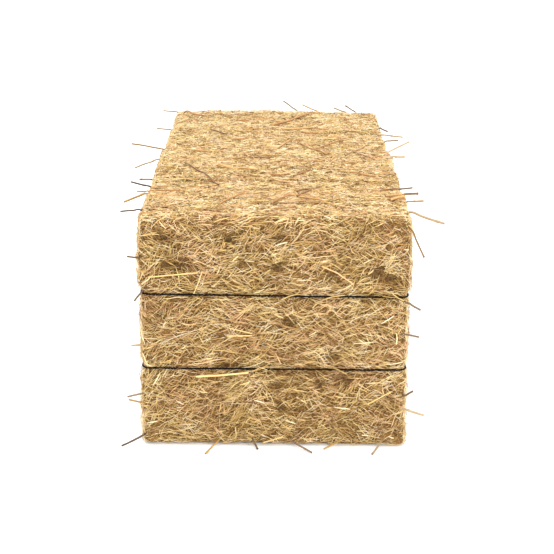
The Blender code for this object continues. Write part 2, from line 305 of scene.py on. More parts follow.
# Places across and along the top
TOP_STALKS = (
    LaidStalk(Tone.RUSTY, 0.5, 1.7, ((-232, 474), (-166, 402))),
    LaidStalk(Tone.RUSTY, 0.6, 1.9, ((-10, 289), (107, 481))),
    LaidStalk(Tone.RUSTY, 0.5, 1.6, ((-102, 351), (-60, 345))),
    LaidStalk(Tone.RUSTY, 0.9, 1.9, ((14, 245), (82, 269))),
    LaidStalk(Tone.RUSTY, 0.4, 1.5, ((55, 224), (99, 204))),
    LaidStalk(Tone.RUSTY, 0.05, 1.5, ((-140, 240), (-104, 198))),
    LaidStalk(Tone.REDDISH, 0.35, 1.6, ((-93, 145), (-56, 157))),
    LaidStalk(Tone.RUSTY, 0.7, 1.6, ((-11, 13), (30, 139))),
    LaidStalk(Tone.RUSTY, 0.5, 1.4, ((46, 119), (87, 22), (102, -15))),
    LaidStalk(Tone.RUSTY, 0.6, 1.5, ((84, 60), (147, 168))),
    LaidStalk(Tone.RUSTY, 0.5, 1.4, ((138, -20), (182, 83))),
    LaidStalk(Tone.RUSTY, 0.4, 1.4, ((157, 18), (194, -58))),
    LaidStalk(Tone.RUSTY, 0.4, 1.3, ((11, 58), (37, 20))),
    LaidStalk(Tone.RUSTY, 0.6, 1.6, ((-185, 24), (-128, -3))),
    LaidStalk(Tone.RUSTY, 0.0, 0.8, ((-52, -47), (-3, -50))),
    LaidStalk(Tone.RUSTY, 0.1, 1.5, ((-174, -100), (-133, -186), (-102, -265))),
    LaidStalk(Tone.RUSTY, 0.9, 1.8, ((-108, -119), (-32, -159))),
    LaidStalk(Tone.RUSTY, 0.4, 1.5, ((-8, -196), (27, -190))),
    LaidStalk(Tone.RUSTY, 0.3, 1.5, ((-43, -203), (-28, -205))),
    LaidStalk(Tone.REDDISH, 0.5, 1.3, ((-8, -215), (30, -246))),
    LaidStalk(Tone.RUSTY, 0.0, 1.3, ((95, -172), (106, -164))),
    LaidStalk(Tone.RUSTY, 0.5, 1.4, ((116, -160), (150, -168), (185, -197))),
    LaidStalk(Tone.RUSTY, 0.4, 1.3, ((34, -206), (67, -148))),
    LaidStalk(Tone.RUSTY, 0.5, 1.5, ((-222, -313), (-168, -319))),
    LaidStalk(Tone.REDDISH, 0.4, 1.3, ((-221, -260), (-194, -267))),
    LaidStalk(Tone.RUSTY, 0.6, 1.5, ((-96, -409), (-55, -331))),
    LaidStalk(Tone.RUSTY, 0.2, 1.5, ((38, -336), (79, -275))),
    LaidStalk(Tone.RUSTY, 0.2, 1.5, ((38, -371), (63, -320))),
    LaidStalk(Tone.RUSTY, 0.5, 1.4, ((-7, -407), (24, -360))),
    LaidStalk(Tone.RUSTY, 0.5, 1.5, ((-2, -444), (31, -430))),
    LaidStalk(Tone.RUSTY, 0.6, 1.7, ((43, -375), (92, -396), (102, -418))),
    LaidStalk(Tone.RUSTY, 0.1, 1.5, ((187, -295), (223, -264))),
    LaidStalk(Tone.REDDISH, 0.5, 1.3, ((-144, -383), (-133, -354))),
    LaidStalk(Tone.RUSTY, 0.8, 2.4, ((198, -378), (214, -360), (230, -352))),
    LaidStalk(Tone.RUSTY, 0.65, 1.9, ((192, -352), (222, -341))),
)

# Places across and up the front end where stalks have fallen out, with the radius of each gap, in mm:
# the straw in a gap lies deeper, and its darkness is painted shade
GAPS = (
    (-185, 377, 16), (-183, 329, 14), (-163, 325, 16), (-76, 376, 14), (-53, 333, 16), (4, 325, 17),
    (7, 376, 13), (96, 314, 13), (176, 314, 15), (196, 303, 14), (26, 224, 16), (-88, 147, 11),
    (101, 167, 12), (122, 125, 13), (6, 114, 15), (79, 114, 15), (12, 69, 15), (46, 69, 14),
)


@dataclass(frozen=True)
class StalkFinish:
    """Dry cereal straw: cut stalks, split leaves and chaff, cured in the sun and broken by the baler."""

    golden: tuple[tuple[float, str], ...] = (
        (0.00, "4A3518"), (0.20, "8A6932"), (0.42, "C49F5C"),
        (0.62, "E2C383"), (0.82, "F2DCA6"), (1.00, "FCF0D0"),
    )
    reddish: tuple[tuple[float, str], ...] = (
        (0.00, "472E17"), (0.20, "855B32"), (0.42, "BE905F"),
        (0.62, "E0B681"), (0.82, "F2D3A4"), (1.00, "FBE8C6"),
    )
    rusty: tuple[tuple[float, str], ...] = ((0.0, "523720"), (0.5, "94693B"), (1.0, "C99B60"))
    greyed: tuple[tuple[float, str], ...] = ((0.0, "3F3023"), (0.5, "7C6549"), (1.0, "BFA57C"))
    streaks: tuple[float, float, float] = (260, 5, 0)
    streak_shades: tuple[float, float] = (0.78, 1.14)
    roughness: float = 0.55
    specular: float = 0.3

    def material(self) -> Material:
        """The stalks' material, which reads each stalk's shade across the map and its length up it."""
        # Grown with a waxy skin and then dried in the field: each stalk keeps a satin gleam along
        # it, with fine lengthwise streaks, and the colour changes from stalk to stalk
        made, tree, shader = new_material("dry cereal straw", self.roughness, self.specular)
        place = add_node(tree, "ShaderNodeUVMap", {"uv_map": BAKE_MAP}).outputs["UV"]
        across = add_node(tree, "ShaderNodeSeparateXYZ", Vector=place).outputs["X"]
        stops = []
        for tone, shades in zip(Tone, (self.golden, self.reddish, self.rusty, self.greyed)):
            start, width = tone.value
            stops += [(start + width * shade, colour) for shade, colour in shades]
        share = add_node(tree, MATH, {"operation": "MULTIPLY", "at": {0: across, 1: 1 / STALK_SHARE}})
        base = add_node(tree, "ShaderNodeValToRGB", {"stops": stops}, Fac=share.outputs[0])
        fine = add_node(tree, VECTORS, {"operation": "MULTIPLY", "at": {0: place, 1: self.streaks}})
        grain = add_node(tree, "ShaderNodeTexNoise", Vector=fine.outputs[0], Scale=1.0, Detail=3.0)
        darker, paler = self.streak_shades
        settings = {"at": {0: grain.outputs["Fac"], 1: 0.3, 2: 0.7, 3: darker, 4: paler}}
        lighter = add_node(tree, "ShaderNodeMapRange", settings)
        streaked = add_node(
            tree, VECTORS, {"operation": "SCALE"}, Vector=base.outputs["Color"], Scale=lighter.outputs[0]
        )
        tree.links.new(streaked.outputs[0], shader.inputs["Base Color"])
        return made


@dataclass(frozen=True)
class MattedFinish:
    """Pressed straw: short crossing fibres that the baler's ram has packed too tightly to stand free."""

    fibre_width: float = 1.5 * MM
    fibre_length: float = 11 * MM
    turns: tuple[tuple[float, float, float], ...] = ((0.1, 0.5, 0.3), (-0.2, -0.6, -0.4), (0.3, 1.4, 0.7))
    # Painted shade: these browns, darker than the stalks', stand for the shade under and between them
    shades: tuple[tuple[float, str], ...] = (
        (0.46, "2A1C0F"), (0.54, "543A1C"), (0.62, "826032"), (0.74, "B08A50"),
    )
    relief: float = 1.5 * MM
    roughness: float = 0.85
    specular: float = 0.2

    def material(self) -> Material:
        """The material of the pressed straw that shows between the stalks, in browns darkened as painted
        shade.
        """
        # Rammed flat in the baler's chamber: three layers of fibres at different angles, each as wide as
        # a split stalk, give a dull brown with dark gaps between the fibres: painted shade, for the shade
        # deep under and between the stalks
        made, tree, shader = new_material("pressed straw mat", self.roughness, self.specular)
        place = add_node(tree, "ShaderNodeTexCoord").outputs["Object"]
        finer = (1 / self.fibre_length, 1 / self.fibre_width, 1 / self.fibre_width)
        highest = None
        for turn in self.turns:
            turned = add_node(
                tree, "ShaderNodeVectorRotate", {"rotation_type": "EULER_XYZ"}, Vector=place, Rotation=turn
            ).outputs[0]
            turned = add_node(tree, VECTORS, {"operation": "MULTIPLY", "at": {0: turned, 1: finer}})
            fibres = add_node(
                tree, "ShaderNodeTexNoise", Vector=turned.outputs[0], Scale=1.0, Detail=3.0, Distortion=0.6
            ).outputs["Fac"]
            if highest is None:
                highest = fibres
            else:
                settings = {"operation": "MAXIMUM", "at": {0: highest, 1: fibres}}
                highest = add_node(tree, MATH, settings).outputs[0]
        colour = add_node(tree, "ShaderNodeValToRGB", {"stops": self.shades}, Fac=highest)
        bump = add_node(tree, "ShaderNodeBump", Strength=0.8, Distance=self.relief, Height=highest)
        tree.links.new(colour.outputs["Color"], shader.inputs["Base Color"])
        tree.links.new(bump.outputs[0], shader.inputs["Normal"])
        return made


@dataclass(frozen=True)
class TwineFinish:
    """Black polypropylene baler twine: a split film, drawn and twisted into plies."""

    shades: tuple[tuple[float, str], ...] = ((0.35, "050404"), (0.7, "151312"))
    fibrils: tuple[float, float, float] = (40, 300, 0)
    roughness: float = 0.6
    specular: float = 0.06

    def material(self) -> Material:
        """The twine's material, with fibrils that run along each twisted ply."""
        # Coloured right through with carbon black: it stays black in the light, with a dull
        # plastic gleam that the split fibrils break up
        name = "black polypropylene baler twine"
        made, tree, shader = new_material(name, self.roughness, self.specular)
        place = add_node(tree, "ShaderNodeUVMap", {"uv_map": BAKE_MAP}).outputs["UV"]
        fine = add_node(tree, VECTORS, {"operation": "MULTIPLY", "at": {0: place, 1: self.fibrils}})
        grain = add_node(tree, "ShaderNodeTexNoise", Vector=fine.outputs[0], Scale=1.0, Detail=2.0)
        colour = add_node(tree, "ShaderNodeValToRGB", {"stops": self.shades}, Fac=grain.outputs["Fac"])
        tree.links.new(colour.outputs["Color"], shader.inputs["Base Color"])
        return made


def new_material(name: str, roughness: float, specular: float) -> tuple[Material, NodeTree, Node]:
    """A new material with its tree and its Principled shader.

    Args:
        name: What the real material is.
        roughness: How rough it is.
        specular: How strongly it reflects.

    Returns:
        The material, its node tree and its shader.
    """
    made = bpy.data.materials.new(name)
    made.use_nodes = True
    shader = made.node_tree.nodes["Principled BSDF"]
    shader.inputs["Roughness"].default_value = roughness
    shader.inputs["Specular IOR Level"].default_value = specular
    return made, made.node_tree, shader


class StalkNodes:
    """What the geometry trees share: adding nodes, and values that stay with each point."""

    tree: NodeTree
    given: bpy.types.bpy_prop_collection

    def _node(self, kind: str, settings: dict | None = None, **inputs: object) -> Node:
        """Add a node to this tree."""
        return add_node(self.tree, kind, settings, **inputs)

    def _of(self, kind: str, operation: str, *values: object, **inputs: object) -> NodeSocket:
        """The result of an operation on values in their order."""
        return self._node(kind, {"operation": operation, "at": dict(enumerate(values))}, **inputs).outputs[0]

    def _keep(
        self, geometry: object, kind: str = "FLOAT", domain: str = "POINT", **values: object
    ) -> NodeSocket:
        """Store values on a geometry, each under its own name.

        Args:
            geometry: The geometry.
            kind: Blender's name for what each value is.
            domain: Blender's name for where it is stored.
            **values: The values by name.

        Returns:
            The geometry with the values on it.
        """
        settings = {"data_type": kind, "domain": domain}
        for name, value in values.items():
            inputs = {"Geometry": geometry, "Name": name, "Value": value}
            geometry = self._node("GeometryNodeStoreNamedAttribute", settings, **inputs).outputs[0]
        return geometry

    def _kept(self, name: str, kind: str = "FLOAT") -> NodeSocket:
        """A value that was stored under a name."""
        return self._node("GeometryNodeInputNamedAttribute", {"data_type": kind}, Name=name).outputs[0]

    def _ring(self, sides: int) -> NodeSocket:
        """A round profile that remembers where each point is on it."""
        settings = {"mode": "RADIUS"}
        ring = self._node("GeometryNodeCurvePrimitiveCircle", settings, Resolution=sides, Radius=1.0)
        place = self._node("GeometryNodeInputPosition").outputs[0]
        return self._keep(ring.outputs[0], "FLOAT_VECTOR", stalk_round=place)

    def _map_place(self, across: object, up: object, width: float, height: float) -> NodeSocket:
        """A tube's place on the bake's map, spread a little by the way round the tube.

        Args:
            across: The middle of the place across the map.
            up: The middle of the place up it.
            width: How far the way round spreads the place across.
            height: How far the way round spreads it up.

        Returns:
            The place.
        """
        parts = self._node("ShaderNodeSeparateXYZ", Vector=self._kept("stalk_round", "FLOAT_VECTOR"))
        across = self._of(MATH, "MULTIPLY_ADD", parts.outputs["X"], width, across)
        up = self._of(MATH, "MULTIPLY_ADD", parts.outputs["Y"], height, up)
        return self._node("ShaderNodeCombineXYZ", X=across, Y=up).outputs[0]

    def _give(self, tubes: object) -> None:
        """Make the tubes a plain smooth mesh of the given material and link it to the tree's output."""
        smooth = self._node("GeometryNodeSetShadeSmooth", Geometry=tubes).outputs[0]
        real = self._node("GeometryNodeRealizeInstances", Geometry=smooth).outputs[0]
        dressed = self._node("GeometryNodeSetMaterial", Geometry=real, Material=self.given["Finish"])
        self._node("NodeGroupOutput", {"at": {0: dressed.outputs[0]}})


class StrawTree(StalkNodes):
    """Geometry Nodes that lay stalks over a surface, each bent to follow it and closed at both ends."""

    # How steep a face may be to count as the end or as the top
    END_STEEPNESS = 0.7
    TOP_STEEPNESS = 0.6

    # The twines: straw keeps clear of them, rises over a reach beside them and lies along them
    # within a distance, and a few stalks cross over them
    TWINE_CLEARANCE = 2.6 * MM
    TWINE_REACH = 6 * MM
    TWINE_SINK = 1.5 * MM
    FREE_HEIGHT = 9 * MM
    CROSSING_HEIGHT = 5 * MM
    CROSSING_SHARE = 0.007
    COMBED_DISTANCE = 14 * MM
    COMBED_FREEDOM = 0.35

    # The straw on the top lies more at random and is painted paler, as painted light
    TOP_LOOSENESS = 0.35
    TOP_PAINTED_LIGHT = 0.05

    # Patches of dark and pale straw, and of reddish straw among the golden
    SHADE_PATCH = 42 * MM
    SHADE_CHANGE = 0.6
    RED_PATCH = 50 * MM
    RED_SCATTER = 0.22
    RED_THRESHOLD = 0.61

    # The gaps in the front end: how much darker their straw is painted, as painted shade, and how much deeper
    # it lies
    GAP_PAINTED_SHADE = 0.8
    GAP_DEPTH = 3 * MM
    GAP_STRETCH = (0.75, 1.0, 1.1)
    GAP_EDGE = (0.3, 0.88)

    # How often a stalk bends in a metre, and how far each one's bends are from the next one's
    BENDS = 32.0
    BEND_SHIFT = 60.0

    # Noise stays near its middle, and this brings its swing up to the size that is asked for
    NOISE_GAIN = 4.0

    # How much thinner a stalk is at its ends, its sides, and how far up the map its way round spreads
    TAPER = 0.4
    SIDES = 3
    ROUND_ON_MAP = 0.008

    def __init__(self, surface: Object, twist: Twist) -> None:
        """Build the tree.

        Args:
            surface: The whole bale's outside, which the stalks follow.
            twist: The twines' places, which the stalks keep off.
        """
        self.twist = twist
        self.surface = surface
        self.tree = bpy.data.node_groups.new("straw over a surface", "GeometryNodeTree")
        face = self.tree.interface
        face.new_socket("Skin", in_out="INPUT", socket_type="NodeSocketGeometry")
        self.names = {}
        for name in LAYERS[0].values():
            self.names[name] = face.new_socket(name, in_out="INPUT", socket_type="NodeSocketFloat").identifier
        for name, kind in (("Steps", "Int"), ("Seed", "Int"), ("Surface", "Object"), ("Finish", "Material")):
            socket = face.new_socket(name, in_out="INPUT", socket_type=f"NodeSocket{kind}")
            self.names[name] = socket.identifier
        face.new_socket("Straw", in_out="OUTPUT", socket_type="NodeSocketGeometry")
        self.given = self.tree.nodes.new("NodeGroupInput").outputs
        self._give(self._tubes(self._bend(self._scatter())))

    def _chance(self, low: object, high: object, number: int) -> NodeSocket:
        """A random value between two others, different for each stalk and each number."""
        seed = self._of(MATH, "ADD", self.given["Seed"], 17.0 * number)
        return self._node("FunctionNodeRandomValue", {"at": {2: low, 3: high, 8: seed}}).outputs[1]

    def _heading(self, normal: NodeSocket, place: NodeSocket) -> NodeSocket:
        """Which way a stalk lies: across the flake, turned by a slow swirl and by chance.

        Args:
            normal: The way that the surface faces.
            place: The stalk's middle.

        Returns:
            The stalk's direction.
        """
        given = self.given
        parts = self._node("ShaderNodeSeparateXYZ", Vector=normal)
        facing = self._of(MATH, "ABSOLUTE", parts.outputs["Y"])
        on_end = self._of(MATH, "GREATER_THAN", facing, self.END_STEEPNESS)
        round_flake = self._of(VECTORS, "CROSS_PRODUCT", normal, (0.0, 1.0, 0.0))
        choice = {"data_type": "VECTOR", "at": {0: on_end, 4: round_flake, 5: (1.0, 0.0, 0.0)}}
        ahead = self._node("ShaderNodeMix", choice).outputs[1]
        finer = self._of(MATH, "DIVIDE", 1.0, given["Swirl"])
        swirl_place = self._of(VECTORS, "SCALE", place, Scale=finer)
        swirl = self._node("ShaderNodeTexNoise", Vector=swirl_place, Scale=1.0, Detail=1.0).outputs[0]
        widest = self._of(MATH, "MULTIPLY", given["Spread"], self.NOISE_GAIN)
        slow = self._of(MATH, "MULTIPLY", self._of(MATH, "SUBTRACT", swirl, 0.5), widest)
        on_top = self._of(MATH, "GREATER_THAN", parts.outputs["Z"], self.TOP_STEEPNESS)
        looseness = self._of(MATH, "MULTIPLY_ADD", on_top, self.TOP_LOOSENESS, 1.0)
        looser = self._of(MATH, "MULTIPLY", given["Jitter"], looseness)
        fast = self._chance(self._of(MATH, "MULTIPLY", looser, -1.0), looser, 1)
        near = self._of(MATH, "MULTIPLY", self._twine_distance(place), 1 / self.COMBED_DISTANCE)
        free = self._of(MATH, "MINIMUM", self._of(MATH, "ADD", near, self.COMBED_FREEDOM), 1.0)
        turn = self._of(MATH, "MULTIPLY", self._of(MATH, "ADD", slow, fast), free)
        angle = self._of(MATH, "ADD", given["Rise"], turn)
        settings = {"rotation_type": "AXIS_ANGLE"}
        return self._node(
            "ShaderNodeVectorRotate", settings, Vector=ahead, Axis=normal, Angle=angle
        ).outputs[0]

    def _twine_distance(self, place: NodeSocket) -> NodeSocket:
        """How far up or down the nearest twine is."""
        parts = self._node("ShaderNodeSeparateXYZ", Vector=place)
        gaps = []
        for height, tilt in zip(self.twist.heights, self.twist.tilts):
            level = self._of(MATH, "MULTIPLY_ADD", parts.outputs["X"], tilt, parts.outputs["Z"])
            gaps.append(self._of(MATH, "ABSOLUTE", self._of(MATH, "SUBTRACT", level, height)))
        return self._of(MATH, "MINIMUM", *gaps)

    def _patches(self, place: NodeSocket, size: float, shift: float) -> NodeSocket:
        """A slow change over the bale, about 0.5, in patches of a size."""
        moved = self._of(VECTORS, "MULTIPLY_ADD", place, (1 / size,) * 3, (shift,) * 3)
        return self._node("ShaderNodeTexNoise", Vector=moved, Scale=1.0, Detail=1.0).outputs[0]

    def _fullness(self, place: NodeSocket) -> NodeSocket:
        """0 in the middle of the gaps on the front end, 1 away from them."""
        least = None
        for x, z, radius in GAPS:
            middle = (x * MM, -LENGTH / 2, z * MM)
            off = self._of(
                VECTORS, "MULTIPLY", self._of(VECTORS, "SUBTRACT", place, middle), self.GAP_STRETCH
            )
            far = self._node(VECTORS, {"operation": "LENGTH"}, Vector=off).outputs["Value"]
            share = self._of(MATH, "DIVIDE", far, radius * MM)
            least = share if least is None else self._of(MATH, "MINIMUM", least, share)
        start, end = self.GAP_EDGE
        return self._node("ShaderNodeMapRange", {"at": {0: least, 1: start, 2: end}}).outputs[0]

    def _colour(self, place: object, fullness: object, on_top: object) -> NodeSocket:
        """Where each stalk's shade is across the map.

        Args:
            place: The stalk's middle.
            fullness: 0 in a gap, where the straw is darkened with painted shade, and 1 away from it.
            on_top: 1 on the top, where the straw is painted paler as painted light.

        Returns:
            The place across the map.
        """
        given = self.given
        patch = self._of(MATH, "SUBTRACT", self._patches(place, self.SHADE_PATCH, 3.0), 0.5)
        patch = self._of(MATH, "MULTIPLY", patch, self.SHADE_CHANGE)
        shade = self._of(MATH, "ADD", self._chance(given["Darkest"], given["Palest"], 21), patch)
        # Painted shade: the straw in the front end's gaps is painted darker
        emptier = self._of(MATH, "MULTIPLY", self._of(MATH, "SUBTRACT", fullness, 1.0), self.GAP_PAINTED_SHADE)
        # Painted light: the top's straw is painted paler than the rest
        painted_top_light = self._of(MATH, "MULTIPLY", on_top, self.TOP_PAINTED_LIGHT)
        shade = self._of(MATH, "ADD", shade, self._of(MATH, "ADD", emptier, painted_top_light))
        shade = self._of(MATH, "MINIMUM", self._of(MATH, "MAXIMUM", shade, 0.0), 1.0)
        scatter = self._chance(-self.RED_SCATTER, self.RED_SCATTER, 22)
        redness = self._of(MATH, "ADD", self._patches(place, self.RED_PATCH, 11.0), scatter)
        is_red = self._of(MATH, "GREATER_THAN", redness, self.RED_THRESHOLD)
        is_rusty = self._of(MATH, "LESS_THAN", self._chance(0.0, 1.0, 23), given["Rust"])
        red_start, width = Tone.REDDISH.value
        start = self._of(MATH, "MULTIPLY", is_red, red_start)
        natural = self._of(MATH, "MULTIPLY_ADD", shade, width, start)
        rusty_start, rusty_width = Tone.RUSTY.value
        rusty = self._of(MATH, "MULTIPLY_ADD", shade, rusty_width, rusty_start)
        either = self._node("ShaderNodeMix", {"at": {0: is_rusty, 2: natural, 3: rusty}}).outputs[0]
        return self._of(MATH, "MULTIPLY", either, STALK_SHARE)

    def _nearest(self, place: object, value: object) -> NodeSocket:
        """A value of the bale's outside at the point nearest to a place."""
        given = self.given["Surface"]
        info = self._node("GeometryNodeObjectInfo", {"transform_space": "RELATIVE"}, Object=given)
        inputs = {"Mesh": info.outputs["Geometry"], "Value": value, "Sample_Position": place}
        settings = {"data_type": "FLOAT_VECTOR"}
        return self._node("GeometryNodeSampleNearestSurface", settings, **inputs).outputs[0]

    def _scatter(self) -> NodeSocket:
        """Points over the skin, each with its stalk's own sizes, as straight lines turned to lie on it."""
        given = self.given
        density = self._of(MATH, "MULTIPLY", given["Density"], self._kept("cover"))
        points = self._node(
            "GeometryNodeDistributePointsOnFaces",
            {"distribute_method": "RANDOM"},
            Mesh=given["Skin"],
            Density=density,
            Seed=given["Seed"],
        ).outputs["Points"]
        place = self._node("GeometryNodeInputPosition").outputs[0]
        normal = self._nearest(place, self._node("GeometryNodeInputNormal").outputs[0])
        heading = self._heading(normal, place)
        length = self._chance(given["Shortest"], given["Longest"], 2)
        fullness = self._fullness(place)
        up = self._node("ShaderNodeSeparateXYZ", Vector=normal).outputs["Z"]
        on_top = self._of(MATH, "GREATER_THAN", up, self.TOP_STEEPNESS)
        colour = self._colour(place, fullness, on_top)
        points = self._keep(points, stalk_across=colour, stalk_fullness=fullness)
        ranges = {
            "stalk_radius": (given["Thinnest"], given["Thickest"]),
            "stalk_height": (given["Lowest"], given["Highest"]),
            "stalk_arch": (given["Least Arch"], given["Most Arch"]),
            "stalk_lean": (self._of(MATH, "MULTIPLY", given["Lean"], -1.0), given["Lean"]),
            "stalk_chance": (0.0, 1.0),
        }
        for number, (name, (low, high)) in enumerate(ranges.items(), start=3):
            points = self._keep(points, **{name: self._chance(low, high, number)})
        settings = {"primary_axis": "Z", "secondary_axis": "X"}
        turn = self._node(
            "FunctionNodeAxesToRotation", settings, Primary_Axis=normal, Secondary_Axis=heading
        )
        line = self._node(
            "GeometryNodeMeshLine",
            {"mode": "END_POINTS"},
            Count=given["Steps"],
            Start_Location=(-0.5, 0.0, 0.0),
            Offset=(0.5, 0.0, 0.0),
        )
        size = self._node("ShaderNodeCombineXYZ", X=length, Y=1.0, Z=1.0).outputs[0]
        copies = self._node(
            "GeometryNodeInstanceOnPoints",
            Points=points,
            Instance=line.outputs[0],
            Rotation=turn.outputs[0],
            Scale=size,
        )
        return self._node("GeometryNodeRealizeInstances", Geometry=copies.outputs[0]).outputs[0]

    def _height(self, centred: object, surface: object) -> NodeSocket:
        """How high each part of a stalk lies over the bale's outside.

        Args:
            centred: The way along the stalk, from -0.5 to 0.5.
            surface: The nearest place on the bale's outside.

        Returns:
            The height.
        """
        arched, chance = self._kept("stalk_arched"), self._kept("stalk_chance")
        height = self._of(MATH, "MULTIPLY_ADD", self._kept("stalk_arch"), arched, self._kept("stalk_height"))
        height = self._of(MATH, "MULTIPLY_ADD", self._kept("stalk_lean"), centred, height)
        emptier = self._of(MATH, "SUBTRACT", self._kept("stalk_fullness"), 1.0)
        height = self._of(MATH, "ADD", height, self._of(MATH, "MULTIPLY", emptier, self.GAP_DEPTH))
        gap = self._of(MATH, "SUBTRACT", self._twine_distance(surface), self.TWINE_CLEARANCE)
        share = self._of(MATH, "DIVIDE", gap, self.TWINE_REACH)
        clear = self._of(MATH, "MINIMUM", self._of(MATH, "MAXIMUM", share, 0.0), 1.0)
        ceiling = self._of(MATH, "MULTIPLY_ADD", clear, self.FREE_HEIGHT, -self.TWINE_SINK)
        under = self._of(MATH, "MINIMUM", height, ceiling)
        lift = self._of(MATH, "MULTIPLY", self._of(MATH, "SUBTRACT", 1.0, clear), self.CROSSING_HEIGHT)
        over = self._of(MATH, "MAXIMUM", height, lift)
        crosses = self._of(MATH, "GREATER_THAN", chance, 1 - self.CROSSING_SHARE)
        return self._node("ShaderNodeMix", {"at": {0: crosses, 2: under, 3: over}}).outputs[0]

    def _bend(self, lines: NodeSocket) -> NodeSocket:
        """Bend the lines over the bale's outside, each at its own height."""
        given = self.given
        last = self._of(MATH, "SUBTRACT", given["Steps"], 1.0)
        index = self._node("GeometryNodeInputIndex").outputs[0]
        along = self._of(MATH, "DIVIDE", self._of(MATH, "MODULO", index, given["Steps"]), last)
        centred = self._of(MATH, "SUBTRACT", along, 0.5)
        sides = self._of(MATH, "MULTIPLY", 4.0, self._of(MATH, "POWER", centred, 2.0))
        arched = self._of(MATH, "SUBTRACT", 1.0, sides)
        lines = self._keep(lines, stalk_along=along, stalk_arched=arched)
        place = self._node("GeometryNodeInputPosition").outputs[0]
        chance = self._kept("stalk_chance")
        shift = self._of(MATH, "MULTIPLY", chance, self.BEND_SHIFT)
        apart = self._node("ShaderNodeCombineXYZ", X=shift, Y=chance, Z=chance).outputs[0]
        wave_place = self._of(VECTORS, "MULTIPLY_ADD", place, (self.BENDS,) * 3, apart)
        wave = self._node("ShaderNodeTexNoise", Vector=wave_place, Scale=1.0, Detail=1.0).outputs[1]
        wave = self._of(VECTORS, "SUBTRACT", wave, (0.5, 0.5, 0.5))
        swing = self._of(VECTORS, "SCALE", wave, Scale=given["Wave"])
        swing = self._of(VECTORS, "SCALE", swing, Scale=self.NOISE_GAIN)
        place = self._of(VECTORS, "ADD", place, swing)
        surface = self._nearest(place, self._node("GeometryNodeInputPosition").outputs[0])
        normal = self._nearest(place, self._node("GeometryNodeInputNormal").outputs[0])
        lift = self._of(VECTORS, "SCALE", normal, Scale=self._height(centred, surface))
        parts = self._node("ShaderNodeSeparateXYZ", Vector=self._of(VECTORS, "ADD", surface, lift))
        floor = self._of(MATH, "MAXIMUM", parts.outputs["Z"], self._kept("stalk_radius"))
        final = self._node("ShaderNodeCombineXYZ", X=parts.outputs["X"], Y=parts.outputs["Y"], Z=floor)
        lines = self._keep(lines, "FLOAT_VECTOR", stalk_up=normal)
        return self._node("GeometryNodeSetPosition", Geometry=lines, Position=final.outputs[0]).outputs[0]

    def _tubes(self, lines: NodeSocket) -> NodeSocket:
        """Give the lines three-sided skins that taper and close at their ends, and their place on the map."""
        curves = self._node("GeometryNodeMeshToCurve", Mesh=lines).outputs[0]
        taper = self._of(MATH, "MULTIPLY_ADD", self._kept("stalk_arched"), self.TAPER, 1 - self.TAPER)
        radius = self._of(MATH, "MULTIPLY", self._kept("stalk_radius"), taper)
        up = self._kept("stalk_up", "FLOAT_VECTOR")
        curves = self._node(
            "GeometryNodeSetCurveNormal", {"mode": "FREE"}, Curve=curves, Normal=up
        ).outputs[0]
        flat = self._node("ShaderNodeCombineXYZ", X=self.given["Flatness"], Y=1.0, Z=1.0).outputs[0]
        ring = self._node("GeometryNodeTransform", Geometry=self._ring(self.SIDES), Scale=flat).outputs[0]
        tubes = self._node(
            "GeometryNodeCurveToMesh", Curve=curves, Profile_Curve=ring, Scale=radius, Fill_Caps=True
        ).outputs[0]
        across = self._of(MATH, "ADD", self._kept("stalk_across"), MAP_MARGIN)
        up = self._of(MATH, "MULTIPLY_ADD", self._kept("stalk_along"), ALONG_SHARE, ALONG_START)
        place = self._map_place(across, up, STALK_ON_MAP, self.ROUND_ON_MAP)
        return self._keep(tubes, "FLOAT2", "CORNER", **{BAKE_MAP: place})

    def grow(self, skin: Object, layer: StrawLayer, seed: int, finish: Material) -> Mesh:
        """Lay one layer of stalks over a flake's skin.

        Args:
            skin: The flake's outside, with how much of each face is covered.
            layer: The kind of stalk.
            seed: The number that sets its chance.
            finish: The stalks' material.

        Returns:
            A plain mesh of all the stalks.
        """
        modifier = skin.modifiers.new(layer.name, "NODES")
        modifier.node_group = self.tree
        values = {**layer.values(), "Steps": layer.steps, "Seed": seed}
        values |= {"Surface": self.surface, "Finish": finish}
        for name, value in values.items():
            modifier[self.names[name]] = value
        graph = bpy.context.evaluated_depsgraph_get()
        mesh = bpy.data.meshes.new_from_object(skin.evaluated_get(graph))
        skin.modifiers.remove(modifier)
        return mesh


def merged_copy(nodes: list[Object]) -> BMesh:
    """One mesh of several nodes, with the vertices that they share made one.

    Args:
        nodes: The nodes.

    Returns:
        The mesh, to be freed by the caller.
    """
    made = bmesh.new()
    for node in nodes:
        made.from_mesh(node.data)
    bmesh.ops.remove_doubles(made, verts=made.verts, dist=0.02 * MM)
    made.normal_update()
    return made


def plain_object(name: str, mesh: Mesh) -> Object:
    """Put a mesh in the scene as an object at the origin."""
    made = bpy.data.objects.new(name, mesh)
    bpy.context.scene.collection.objects.link(made)
    return made


def joined(meshes: list[Mesh], name: str) -> Mesh:
    """Join several meshes into one that keeps their maps and materials.

    Args:
        meshes: The meshes, each with one material.
        name: The joined mesh's name.

    Returns:
        The joined mesh. The others are removed.
    """
    finishes = []
    made = bmesh.new()
    for mesh in meshes:
        finish = mesh.materials[0]
        if finish not in finishes:
            finishes.append(finish)
        before = len(made.faces)
        made.from_mesh(mesh)
        made.faces.ensure_lookup_table()
        for face in made.faces[before:]:
            face.material_index = finishes.index(finish)
        bpy.data.meshes.remove(mesh)
    whole = bpy.data.meshes.new(name)
    made.to_mesh(whole)
    made.free()
    for finish in finishes:
        whole.materials.append(finish)
    for attribute in [a.name for a in whole.attributes if a.name.startswith(("stalk_", "cover"))]:
        whole.attributes.remove(whole.attributes[attribute])
    return whole


